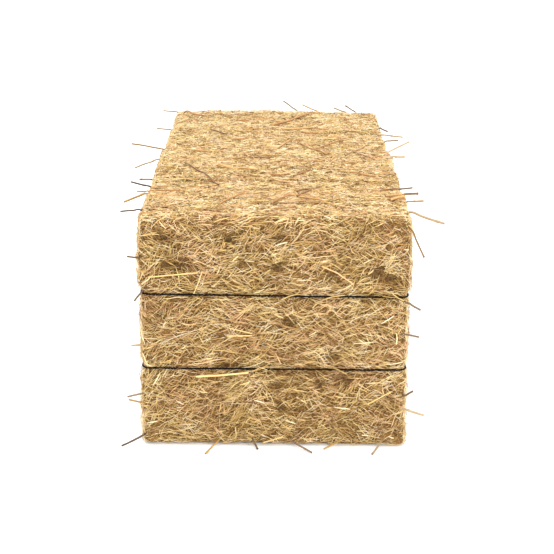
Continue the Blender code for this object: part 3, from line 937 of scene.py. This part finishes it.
@dataclass
class Flake:
    """A pressed flake: the matted straw inside it and the stalks that cover its outside."""

    number: int
    inset: float = 5 * MM
    foot_inset: float = 1 * MM
    roughness: float = 1.5 * MM
    rough_size: float = 14 * MM
    floor: float = 0.2 * MM

    # The box that the mat's place on the map is measured in, and a band for each way that faces look
    MAP_LOW = (-0.26, -0.52, -0.01)
    MAP_HIGH = (0.26, 0.52, 0.44)
    BANDS = 6

    # How squarely a face has to look along the bale, or up or down, to be in a region
    END_FACING = 0.75
    SEAM_FACING = 0.97
    FOOT_LEVEL = -0.75
    TOP_LEVEL = 0.6

    @property
    def node(self) -> str:
        """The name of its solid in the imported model."""
        return f"flake_{self.number:02d}"

    def region(self, face: BMFace) -> Region:
        """Which part of the flake's outside a face is on."""
        x, y, z = face.normal
        at_end = abs(face.calc_center_median().y) > LENGTH / 2 - FLAKE_PITCH / 2
        if at_end and abs(y) > self.END_FACING:
            return Region.FRONT if y < 0 else Region.BACK
        if abs(y) > self.SEAM_FACING:
            return Region.SEAM
        level = z / max(math.hypot(x, z), 1e-6)
        if level < self.FOOT_LEVEL:
            return Region.FOOT
        return Region.TOP if level > self.TOP_LEVEL else Region.SIDE

    def skin(self) -> Object:
        """The flake's outside, without the faces that meet other flakes, and each face's region."""
        mesh = merged_copy([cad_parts[self.node]])
        inner = [f for f in mesh.faces if self.region(f) is Region.SEAM]
        bmesh.ops.delete(mesh, geom=inner, context="FACES")
        regions = mesh.faces.layers.int.new("region")
        order = list(Region)
        for face in mesh.faces:
            face[regions] = order.index(self.region(face))
        data = bpy.data.meshes.new(f"{self.node}_skin")
        mesh.to_mesh(data)
        mesh.free()
        data.attributes.new("cover", "FLOAT", "FACE")
        return plain_object(data.name, data)

    @staticmethod
    def set_cover(skin: Object, cover: dict[Region, float]) -> None:
        """Set how much of each face a layer covers."""
        order = list(Region)
        regions = np.zeros(len(skin.data.polygons), dtype=np.int32)
        skin.data.attributes["region"].data.foreach_get("value", regions)
        shares = np.array([cover.get(region, 0.0) for region in order], dtype=np.float32)
        skin.data.attributes["cover"].data.foreach_set("value", shares[regions])
        skin.data.update()

    def mat(self, finish: Material) -> Mesh:
        """The pressed straw under the stalks, a little inside the flake's outside and rough.

        Args:
            finish: The matted straw's material.

        Returns:
            A closed mesh with its place on the map.
        """
        mesh = merged_copy([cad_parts[self.node]])
        for vertex in mesh.verts:
            vertex.co -= vertex.normal * (self.foot_inset if vertex.co.z < 1 * MM else self.inset)
        bmesh.ops.subdivide_edges(mesh, edges=mesh.edges, cuts=1, use_grid_fill=True)
        mesh.normal_update()
        for vertex in mesh.verts:
            rough = noise.noise(vertex.co / self.rough_size)
            vertex.co += vertex.normal * self.roughness * rough
            vertex.co.z = max(vertex.co.z, self.floor)
        self._place_on_map(mesh)
        data = bpy.data.meshes.new(f"{self.node}_mat")
        mesh.to_mesh(data)
        mesh.free()
        data.materials.append(finish)
        return data

    def _place_on_map(self, mesh: BMesh) -> None:
        """Give each face its place on the bake's map, one band for each way that faces look."""
        uv = mesh.loops.layers.uv.new(BAKE_MAP)
        low, high = self.MAP_LOW, self.MAP_HIGH
        for face in mesh.faces:
            axis = max(range(3), key=lambda i: abs(face.normal[i]))
            band = 2 * axis + (face.normal[axis] > 0)
            first, second = [i for i in range(3) if i != axis]
            for loop in face.loops:
                a = (loop.vert.co[first] - low[first]) / (high[first] - low[first])
                b = (loop.vert.co[second] - low[second]) / (high[second] - low[second])
                across = MAT_START + (1 - MAT_START) * (0.01 + 0.98 * a)
                loop[uv].uv = (across, (band + ALONG_START + ALONG_SHARE * b) / self.BANDS)

    def build(self, tree: StrawTree, straw: Material, matted: Material) -> Object:
        """Make the flake's piece and put it in the place of its solid.

        Args:
            tree: The tree that lays the stalks.
            straw: The stalks' material.
            matted: The pressed straw's material.

        Returns:
            The finished piece.
        """
        skin = self.skin()
        meshes = [self.mat(matted)]
        for number, layer in enumerate(LAYERS):
            self.set_cover(skin, layer.cover)
            meshes.append(tree.grow(skin, layer, 1000 * self.number + 50 * number, straw))
        meshes = [mesh for mesh in meshes if len(mesh.polygons)]
        bpy.data.objects.remove(skin)
        piece = plain_object(f"straw_{self.node}", joined(meshes, f"straw_{self.node}"))
        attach(piece, "root")
        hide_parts(self.node)
        return piece


class TubeTree(StalkNodes):
    """Geometry Nodes that turn lines into stalks with nodes and hollow ends, or into twisted twine."""

    # A stalk's node: how long and how much thicker it is, as shares of the stalk
    JOINT_LENGTH = 0.025
    JOINT_SWELLING = 0.35

    # A stalk's hollow end: how wide, as a share of the stalk, how deep, and how large its painted shade is on
    # the map
    HOLLOW = 0.68
    HOLLOW_DEPTH = 3 * MM
    HOLLOW_ON_MAP = 0.01

    # The rings along a stalk and the sides of each
    STALK_STEPS = 24
    STALK_SIDES = 6

    # The twine: the step along it, its three plies and how far they stand out, its sides, and how
    # far across the map its way round spreads
    TWINE_STEP = 2.8 * MM
    PLIES = 3.0
    PLY_RELIEF = 0.15
    TWINE_SIDES = 9
    TWINE_ON_MAP = 0.45

    def __init__(self, twist: Twist | None = None) -> None:
        """Build the tree.

        Args:
            twist: The twine's twist, where the tubes are twine and not stalks.
        """
        name = "twisted twine along lines" if twist else "hollow stalks along lines"
        self.tree = bpy.data.node_groups.new(name, "GeometryNodeTree")
        face = self.tree.interface
        face.new_socket("Lines", in_out="INPUT", socket_type="NodeSocketGeometry")
        self.finish = face.new_socket("Finish", in_out="INPUT", socket_type="NodeSocketMaterial").identifier
        face.new_socket("Tubes", in_out="OUTPUT", socket_type="NodeSocketGeometry")
        self.given = self.tree.nodes.new("NodeGroupInput").outputs
        curves = self._node("GeometryNodeMeshToCurve", Mesh=self.given["Lines"]).outputs[0]
        tubes = self._twine(curves, twist.lay) if twist else self._stalks(curves)
        self._give(tubes)

    def _mapped(self, tubes: object, width: float) -> NodeSocket:
        """Give the tubes their place on the map, from their colour and the way along them."""
        across, up = self._kept("stalk_across"), self._kept("stalk_up_map")
        place = self._map_place(across, up, width, MAP_MARGIN)
        return self._keep(tubes, "FLOAT2", "CORNER", **{BAKE_MAP: place})

    def _stalks(self, curves: object) -> NodeSocket:
        """Round stalks that swell at a node, with both cut ends hollow and painted dark inside as painted
        shade.
        """
        smooth = {"spline_type": "CATMULL_ROM"}
        curves = self._node("GeometryNodeCurveSplineType", smooth, Curve=curves).outputs[0]
        even = {"mode": "COUNT"}
        steps = self.STALK_STEPS
        curves = self._node("GeometryNodeResampleCurve", even, Curve=curves, Count=steps).outputs[0]
        along = self._node("GeometryNodeSplineParameter").outputs["Factor"]
        up = self._of(MATH, "MULTIPLY_ADD", along, ALONG_SHARE, ALONG_START)
        curves = self._keep(curves, stalk_up_map=up)
        off = self._of(MATH, "SUBTRACT", along, self._kept("stalk_joint"))
        off = self._of(MATH, "POWER", self._of(MATH, "DIVIDE", off, self.JOINT_LENGTH), 2.0)
        swell = self._of(MATH, "EXPONENT", self._of(MATH, "MULTIPLY", off, -1.0))
        thicker = self._of(MATH, "MULTIPLY_ADD", swell, self.JOINT_SWELLING, 1.0)
        radius = self._of(MATH, "MULTIPLY", self._kept("stalk_radius"), thicker)
        ring = self._ring(self.STALK_SIDES)
        tubes = self._node(
            "GeometryNodeCurveToMesh", Curve=curves, Profile_Curve=ring, Scale=radius, Fill_Caps=True
        ).outputs[0]
        tubes = self._mapped(tubes, STALK_ON_MAP)
        corners = self._node("GeometryNodeInputMeshFaceNeighbors").outputs["Vertex Count"]
        settings = {"data_type": "INT", "operation": "GREATER_THAN", "at": {2: corners, 3: 4}}
        cap = self._node("FunctionNodeCompare", settings).outputs[0]
        faces = {"mode": "FACES"}
        inputs = {"Mesh": tubes, "Selection": cap, "Offset_Scale": 0.0, "Individual": False}
        rim = self._node("GeometryNodeExtrudeMesh", faces, **inputs)
        inputs = {"Geometry": rim.outputs["Mesh"], "Selection": rim.outputs["Top"], "Scale": self.HOLLOW}
        narrow = self._node("GeometryNodeScaleElements", {"domain": "FACE"}, **inputs).outputs[0]
        inputs = {"Mesh": narrow, "Selection": rim.outputs["Top"], "Offset_Scale": -self.HOLLOW_DEPTH}
        hollow = self._node("GeometryNodeExtrudeMesh", faces, Individual=False, **inputs)
        sides = hollow.outputs["Side"]
        inside = self._of("FunctionNodeBooleanMath", "OR", hollow.outputs["Top"], sides)
        # Painted shade: the hollow's inner walls take the darkest golden straw colour
        dark = self._map_place(2 * STALK_ON_MAP, 0.5, STALK_ON_MAP, self.HOLLOW_ON_MAP)
        settings = {"data_type": "FLOAT2", "domain": "CORNER"}
        inputs = {"Geometry": hollow.outputs["Mesh"], "Selection": inside, "Name": BAKE_MAP, "Value": dark}
        return self._node("GeometryNodeStoreNamedAttribute", settings, **inputs).outputs[0]

    def _twine(self, curves: object, lay: float) -> NodeSocket:
        """Three plies twisted round each other, whole turns to each loop, each near one lay long."""
        even = {"mode": "LENGTH"}
        step = self.TWINE_STEP
        curves = self._node("GeometryNodeResampleCurve", even, Curve=curves, Length=step).outputs[0]
        spline = self._node("GeometryNodeSplineParameter").outputs["Factor"]
        length = self._node("GeometryNodeSplineLength").outputs["Length"]
        turns = self._of(MATH, "ROUND", self._of(MATH, "DIVIDE", length, lay))
        turns = self._of(MATH, "MAXIMUM", turns, 1.0)
        angle = self._of(MATH, "MULTIPLY", self._of(MATH, "MULTIPLY", spline, turns), 2 * math.pi)
        curves = self._node("GeometryNodeSetCurveTilt", Curve=curves, Tilt=angle).outputs[0]
        rise = self._of(MATH, "MULTIPLY_ADD", spline, self._kept("twine_share"), self._kept("twine_start"))
        curves = self._keep(curves, stalk_up_map=rise)
        ring = self._ring(self.TWINE_SIDES)
        parts = self._node("ShaderNodeSeparateXYZ", Vector=self._node("GeometryNodeInputPosition").outputs[0])
        around = self._of(MATH, "ARCTAN2", parts.outputs["Y"], parts.outputs["X"])
        lobe = self._of(MATH, "COSINE", self._of(MATH, "MULTIPLY", around, self.PLIES))
        swell = self._of(MATH, "MULTIPLY_ADD", lobe, self.PLY_RELIEF, 1.0)
        out = self._of(VECTORS, "SCALE", self._node("GeometryNodeInputPosition").outputs[0], Scale=swell)
        ring = self._node("GeometryNodeSetPosition", Geometry=ring, Position=out).outputs[0]
        tubes = self._node(
            "GeometryNodeCurveToMesh", Curve=curves, Profile_Curve=ring, Scale=self._kept("stalk_radius"),
            Fill_Caps=True,
        ).outputs[0]
        return self._mapped(tubes, self.TWINE_ON_MAP)

    def run(self, lines: Object, finish: Material) -> Mesh:
        """Turn an object's lines into tubes.

        Args:
            lines: The object with the lines, which is deleted.
            finish: The tubes' material.

        Returns:
            A plain mesh of the tubes.
        """
        modifier = lines.modifiers.new("tubes", "NODES")
        modifier.node_group = self.tree
        modifier[self.finish] = finish
        graph = bpy.context.evaluated_depsgraph_get()
        mesh = bpy.data.meshes.new_from_object(lines.evaluated_get(graph))
        bpy.data.objects.remove(lines)
        for name in [a.name for a in mesh.attributes if a.name.startswith(("stalk_", "twine_"))]:
            mesh.attributes.remove(mesh.attributes[name])
        if not len(mesh.materials) or mesh.materials[0] is None:
            mesh.materials.clear()
            mesh.materials.append(finish)
        return mesh


@dataclass
class Line:
    """A line of places, with values that hold for all of it."""

    places: list[Vector]
    values: dict[str, float]
    closed: bool = False


def lines_object(lines: list[Line], name: str) -> Object:
    """An object that holds lines as edges, with their values on each vertex.

    Args:
        lines: The lines.
        name: The object's name.

    Returns:
        The object.
    """
    places, edges = [], []
    for line in lines:
        start = len(places)
        places += line.places
        count = len(line.places)
        edges += [(start + i, start + i + 1) for i in range(count - 1)]
        if line.closed:
            edges.append((start + count - 1, start))
    mesh = bpy.data.meshes.new(name)
    mesh.from_pydata(places, edges, [])
    for key in lines[0].values:
        values = [line.values[key] for line in lines for _ in line.places]
        mesh.attributes.new(key, "FLOAT", "POINT").data.foreach_set("value", values)
    return plain_object(name, mesh)


@dataclass
class SingleStalks:
    """The stalks that stand out of the bale and those that lie loose on it."""

    surface: Object
    seed: int = 5
    thicker: float = 1.45
    rooted: float = 24 * MM
    lowest_root: float = 4 * MM
    laid_height: float = 2.8 * MM
    lift_over_twine: float = 2 * MM
    twine_reach: float = 6 * MM
    look_from: float = 60 * MM
    joint: tuple[float, float] = (0.35, 1.4)

    # The rings of vertices along a stray stalk's solid, and the steps between two places of a laid one
    RINGS = 4
    LAID_STEPS = 3

    # The stray stalks' tones, how often each comes and how pale it gets
    STRAY_TONES = (Tone.GOLDEN, Tone.GREYED)
    STRAY_SHARES = (2, 9)
    STRAY_PALEST = {Tone.GOLDEN: 0.28, Tone.GREYED: 0.7}

    def __post_init__(self) -> None:
        """Make the surface ready to be searched."""
        mesh = bmesh.new()
        mesh.from_mesh(self.surface.data)
        self.tree = BVHTree.FromBMesh(mesh)
        mesh.free()
        self.chance = random.Random(self.seed)
        self.nodes = sorted(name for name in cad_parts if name.startswith("stray_stalk_"))

    def _values(self, radius: float, tone: Tone, shade: float) -> dict[str, float]:
        """A stalk's values for the tree."""
        return {
            "stalk_radius": radius,
            "stalk_across": tone.across(shade) + MAP_MARGIN,
            "stalk_joint": self.chance.uniform(*self.joint),
        }

    def stray(self, node: str) -> Line:
        """The line of a stalk that stands out of the bale, from a root inside the straw to its tip.

        Args:
            node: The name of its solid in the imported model.

        Returns:
            The line.
        """
        mesh = merged_copy([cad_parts[node]])
        places = np.array([vertex.co for vertex in mesh.verts])
        mesh.free()
        middle = places.mean(axis=0)
        axis = np.linalg.svd(places - middle, full_matrices=False)[2][0]
        order = places[np.argsort((places - middle) @ axis)]
        groups = np.array_split(order, self.RINGS)
        rings = [Vector(group.mean(axis=0)) for group in groups]
        radius = float(np.linalg.norm(groups[1] - np.array(rings[1]), axis=1).mean())
        if self._away(rings[0]) > self._away(rings[-1]):
            rings.reverse()
        back = (rings[0] - rings[1]).normalized()
        inward = -self.tree.find_nearest(rings[0])[1]
        root = rings[0] + (back + inward).normalized() * self.rooted
        root.z = max(root.z, self.lowest_root)
        tone = self.chance.choices(self.STRAY_TONES, self.STRAY_SHARES)[0]
        shade = self.chance.uniform(0.0, self.STRAY_PALEST[tone])
        return Line([root, *rings], self._values(radius * self.thicker, tone, shade))

    def _away(self, place: Vector) -> float:
        """How far a place is from the bale."""
        return self.tree.find_nearest(place)[3]

    def laid(self, stalk: LaidStalk, on_top: bool) -> Line:
        """The line of a stalk that lies on the top or on the front end.

        Args:
            stalk: The stalk.
            on_top: Whether its places are on the top.

        Returns:
            The line.
        """
        twist = Twist()
        inward = Vector((0, 0, -1)) if on_top else Vector((0, 1, 0))
        above, before = HEIGHT + self.look_from, -LENGTH / 2 - self.look_from
        outside = [
            Vector((a * MM, b * MM, above)) if on_top else Vector((a * MM, before, b * MM))
            for a, b in stalk.places
        ]
        passed = []
        for start, end in zip(outside, outside[1:]):
            passed += [start.lerp(end, i / self.LAID_STEPS) for i in range(self.LAID_STEPS)]
        passed.append(outside[-1])
        line = []
        for place in passed:
            met = self.tree.ray_cast(place, inward)[0]
            if met is None:
                met = self.tree.find_nearest(place + inward * self.look_from)[0]
            away = min(abs(met.z + met.x * tilt - level) for level, tilt in zip(twist.heights, twist.tilts))
            over = self.lift_over_twine if away <= self.twine_reach else 0
            line.append(met - inward * (self.laid_height + over))
        return Line(line, self._values(stalk.radius * MM, stalk.tone, stalk.shade))

    def build(self, tree: TubeTree, finish: Material) -> Object:
        """Make the piece and put it in the place of the stray stalks' solids.

        Args:
            tree: The tree for hollow stalks.
            finish: The stalks' material.

        Returns:
            The finished piece.
        """
        lines = [self.stray(node) for node in self.nodes]
        lines += [self.laid(stalk, False) for stalk in FRONT_STALKS]
        lines += [self.laid(stalk, True) for stalk in TOP_STALKS]
        mesh = tree.run(lines_object(lines, "single_stalk_lines"), finish)
        piece = plain_object("single_stalks", mesh)
        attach(piece, "root")
        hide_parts(*self.nodes)
        return piece


@dataclass
class Twine:
    """One loop of baler twine, with its knot and its two frayed ends."""

    name: str
    height: float
    tilt: float
    knot_at: float
    twist: Twist = field(default_factory=Twist)
    knot_off: float = 1.2 * MM
    knot_size: tuple[float, float, float] = (1.5 * MM, 1.5 * MM, 1.1 * MM)
    knot_thickness: float = 0.95
    tail_thickness: float = 0.92
    tail: float = 35 * MM
    frays: int = 6
    fray_radius: float = 0.4 * MM
    step: float = 14 * MM
    unevenness: float = 0.8 * MM
    waves: float = 16.0

    # How far up the map each part of the twine starts, and how much of it the part takes
    LOOP_ON_MAP = (0.02, 0.76)
    KNOT_ON_MAP = (0.80, 0.06)
    TAIL_ON_MAP = (0.87, 0.05)
    FRAY_ON_MAP = (0.93, 0.05)

    # A cut end's way from the knot: out from the bale in mm, and along and up as shares of its length
    TAIL_WAY = ((0.0, 0.0, 0.0), (1.5, 0.35, -0.06), (2.5, 0.62, -0.16), (4.5, 0.8, -0.24))
    KNOT_STEPS = 36
    CORNER_STEPS = 6

    # A loose fibril's end from the cut end: out in mm, and along and down as shares of the cut end
    FRAY_OUT = (-1.5, 3)
    FRAY_ALONG = (0.12, 0.24)
    FRAY_DOWN = (-0.03, 0.16)

    def level(self, x: float) -> float:
        """The twine's height at a place across the bale."""
        return self.height - x * self.tilt

    def loop(self) -> Line:
        """The line round the bale: a rectangle with rounded corners, a little uneven."""
        twist = self.twist
        flat_x, flat_y = twist.half_width - twist.corner, twist.half_length - twist.corner
        places = []
        for number, (sign_x, sign_y) in enumerate(((1, -1), (1, 1), (-1, 1), (-1, -1))):
            for step in range(self.CORNER_STEPS + 1):
                angle = math.radians(-90 + 90 * (number + step / self.CORNER_STEPS))
                x = sign_x * flat_x + twist.corner * math.cos(angle)
                y = sign_y * flat_y + twist.corner * math.sin(angle)
                places.append(Vector((x, y, 0)))
        filled = []
        for start, end in zip(places, places[1:] + places[:1]):
            count = max(1, round((end - start).length / self.step))
            filled += [start.lerp(end, i / count) for i in range(count)]
        for place in filled:
            sag = noise.noise(Vector((place.x, place.y, self.height)) * self.waves) * self.unevenness
            place.z = self.level(place.x) + sag
        return Line(filled, self._values(twist.radius, self.LOOP_ON_MAP), closed=True)

    @staticmethod
    def _values(radius: float, on_map: tuple[float, float]) -> dict[str, float]:
        """A line's values for the tree."""
        start, share = on_map
        return {"stalk_radius": radius, "stalk_across": 0.5, "twine_start": start, "twine_share": share}

    def knot(self) -> list[Line]:
        """The knot's crossing turns, its two tails and the loose fibrils at their ends."""
        chance = random.Random(round(self.height * 1e4))
        radius = self.twist.radius
        x = self.twist.half_width + self.knot_off
        middle = Vector((x, self.knot_at, self.level(x)))
        out, along, up = self.knot_size
        turns = []
        for step in range(self.KNOT_STEPS):
            t = 2 * math.pi * step / self.KNOT_STEPS
            a = math.sin(t) + 2 * math.sin(2 * t)
            b = math.cos(t) - 2 * math.cos(2 * t)
            c = -math.sin(3 * t)
            turns.append(middle + Vector((c * out, a * along, b * up)))
        lines = [Line(turns, self._values(radius * self.knot_thickness, self.KNOT_ON_MAP), closed=True)]
        for side in (-1, 1):
            reach = side * self.tail
            ways = [Vector((off * MM, reach * way, reach * rise)) for off, way, rise in self.TAIL_WAY]
            tail = [middle + way for way in ways]
            lines.append(Line(tail, self._values(radius * self.tail_thickness, self.TAIL_ON_MAP)))
            for _ in range(self.frays):
                out_by = chance.uniform(*self.FRAY_OUT) * MM
                along_by = reach * chance.uniform(*self.FRAY_ALONG)
                down_by = reach * chance.uniform(*self.FRAY_DOWN)
                end = tail[-1] + Vector((out_by, along_by, -down_by))
                curl = Vector((chance.uniform(-1, 1), 0, chance.uniform(-1, 1))) * MM
                bend = tail[-1].lerp(end, 0.5) + curl
                start = tail[-2].lerp(tail[-1], 0.7)
                lines.append(Line([start, bend, end], self._values(self.fray_radius, self.FRAY_ON_MAP)))
        return lines

    def build(self, tree: TubeTree, finish: Material) -> Object:
        """Make the twine's piece and put it in the place of its solid.

        Args:
            tree: The tree for twisted twine.
            finish: The twine's material.

        Returns:
            The finished piece.
        """
        mesh = tree.run(lines_object([self.loop(), *self.knot()], f"{self.name}_lines"), finish)
        piece = plain_object(f"twisted_{self.name}", mesh)
        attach(piece, "root")
        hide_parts(self.name)
        return piece


@dataclass
class Studio:
    """The pale floor, the soft light and the camera."""

    lens: float = 1345 / 554 * 36
    eye: Vector = field(default_factory=lambda: Vector((0.0, -2.63, 0.983)))
    pitch: float = math.radians(17.45)
    yaw: float = math.radians(0.1)
    roll: float = math.radians(-0.37)

    def floor(self) -> None:
        """A wide floor, nearly white."""
        bpy.ops.mesh.primitive_plane_add(size=40, location=(0, 0, -0.2 * MM))
        floor = bpy.context.object
        floor.name = "studio_floor"
        made, _, shader = new_material("white studio floor", roughness=0.9, specular=0.5)
        shader.inputs["Base Color"].default_value = linear("F7F7F7")
        floor.data.materials.append(made)

    def lights(self) -> None:
        """A white room with one large soft light over the bale and a wide one in front."""
        world = bpy.data.worlds.new("white room")
        bpy.context.scene.world = world
        world.use_nodes = True
        backdrop = world.node_tree.nodes["Background"]
        backdrop.inputs["Color"].default_value = (1, 1, 1, 1)
        backdrop.inputs["Strength"].default_value = 1.5
        for name, place, aim, size, power in (
            ("overhead", (-0.4, -0.2, 3.2), (0, 0, 0.3), 2.0, 74),
            ("front", (0.9, -3.2, 1.5), (0, -0.4, 0.15), 2.4, 73),
        ):
            data = bpy.data.lights.new(name, "AREA")
            data.size = size
            data.energy = power
            light = bpy.data.objects.new(name, data)
            light.location = place
            light.rotation_euler = (Vector(aim) - Vector(place)).to_track_quat("-Z", "Y").to_euler()
            bpy.context.scene.collection.objects.link(light)

    def camera(self) -> None:
        """The camera, where the photograph's six visible corners put it."""
        level_ahead = Vector((math.sin(self.yaw), math.cos(self.yaw), 0))
        ahead = level_ahead * math.cos(self.pitch) - Vector((0, 0, math.sin(self.pitch)))
        level = Vector((math.cos(self.yaw), -math.sin(self.yaw), 0))
        down = ahead.cross(level)
        right = math.cos(self.roll) * level + math.sin(self.roll) * down
        below = -math.sin(self.roll) * level + math.cos(self.roll) * down
        data = bpy.data.cameras.new("camera")
        data.lens = self.lens
        data.sensor_width = 36
        camera = bpy.data.objects.new("camera", data)
        turn = Matrix((right, -below, -ahead)).transposed().to_4x4()
        camera.matrix_world = Matrix.Translation(self.eye) @ turn
        bpy.context.scene.collection.objects.link(camera)
        bpy.context.scene.camera = camera

    def build(self) -> None:
        """Set up the studio."""
        self.floor()
        self.lights()
        self.camera()
        bpy.context.scene.view_settings.view_transform = "Standard"


def bale_surface() -> Object:
    """All the flakes' outsides as one hidden surface for the stalks to follow, its seams nearly filled."""
    nodes = [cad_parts[f"flake_{number:02d}"] for number in range(1, FLAKE_COUNT + 1)]
    mesh = merged_copy(nodes)
    for vertex in mesh.verts:
        seam = round((vertex.co.y + LENGTH / 2) / FLAKE_PITCH)
        away = abs(vertex.co.y + LENGTH / 2 - seam * FLAKE_PITCH)
        outward = Vector((vertex.normal.x, 0, vertex.normal.z))
        if 0 < seam < FLAKE_COUNT and away < SEAM_ROUND and outward.length > LEAST_OUTWARD:
            dip = SEAM_ROUND - math.sqrt(SEAM_ROUND**2 - (SEAM_ROUND - away) ** 2)
            vertex.co += outward.normalized() * dip * SEAM_FILL
    mesh.normal_update()
    ends = LENGTH / 2 - FLAKE_PITCH / 2
    inner = [
        face
        for face in mesh.faces
        if abs(face.normal.y) > INNER_FACING and abs(face.calc_center_median().y) < ends
    ]
    bmesh.ops.delete(mesh, geom=inner, context="FACES")
    data = bpy.data.meshes.new("bale_outside")
    mesh.to_mesh(data)
    mesh.free()
    return plain_object("bale_outside", data)


def triangles(piece: Object) -> int:
    """How many triangles a piece has."""
    corners = np.zeros(len(piece.data.polygons), dtype=np.int32)
    piece.data.polygons.foreach_get("loop_total", corners)
    return int((corners - 2).sum())


def main() -> None:
    """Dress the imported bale."""
    logging.basicConfig(level=logging.INFO)
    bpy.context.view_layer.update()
    straw = StalkFinish().material()
    matted = MattedFinish().material()
    polypropylene = TwineFinish().material()
    surface = bale_surface()
    twist = Twist()
    tree = StrawTree(surface, twist)
    pieces = [Flake(number).build(tree, straw, matted) for number in range(1, FLAKE_COUNT + 1)]
    pieces.append(SingleStalks(surface).build(TubeTree(), straw))
    twisting = TubeTree(twist)
    for name, height, tilt, knot_at in zip(
        ("twine_lower", "twine_upper"), twist.heights, twist.tilts, (-170 * MM, -150 * MM)
    ):
        pieces.append(Twine(name, height, tilt, knot_at).build(twisting, polypropylene))
    for piece in pieces:
        log.info("%s: %d triangles", piece.name, triangles(piece))
    log.info("in all: %d triangles", sum(triangles(piece) for piece in pieces))
    bpy.data.objects.remove(surface)
    Studio().build()


if __name__ == "__main__":
    main()
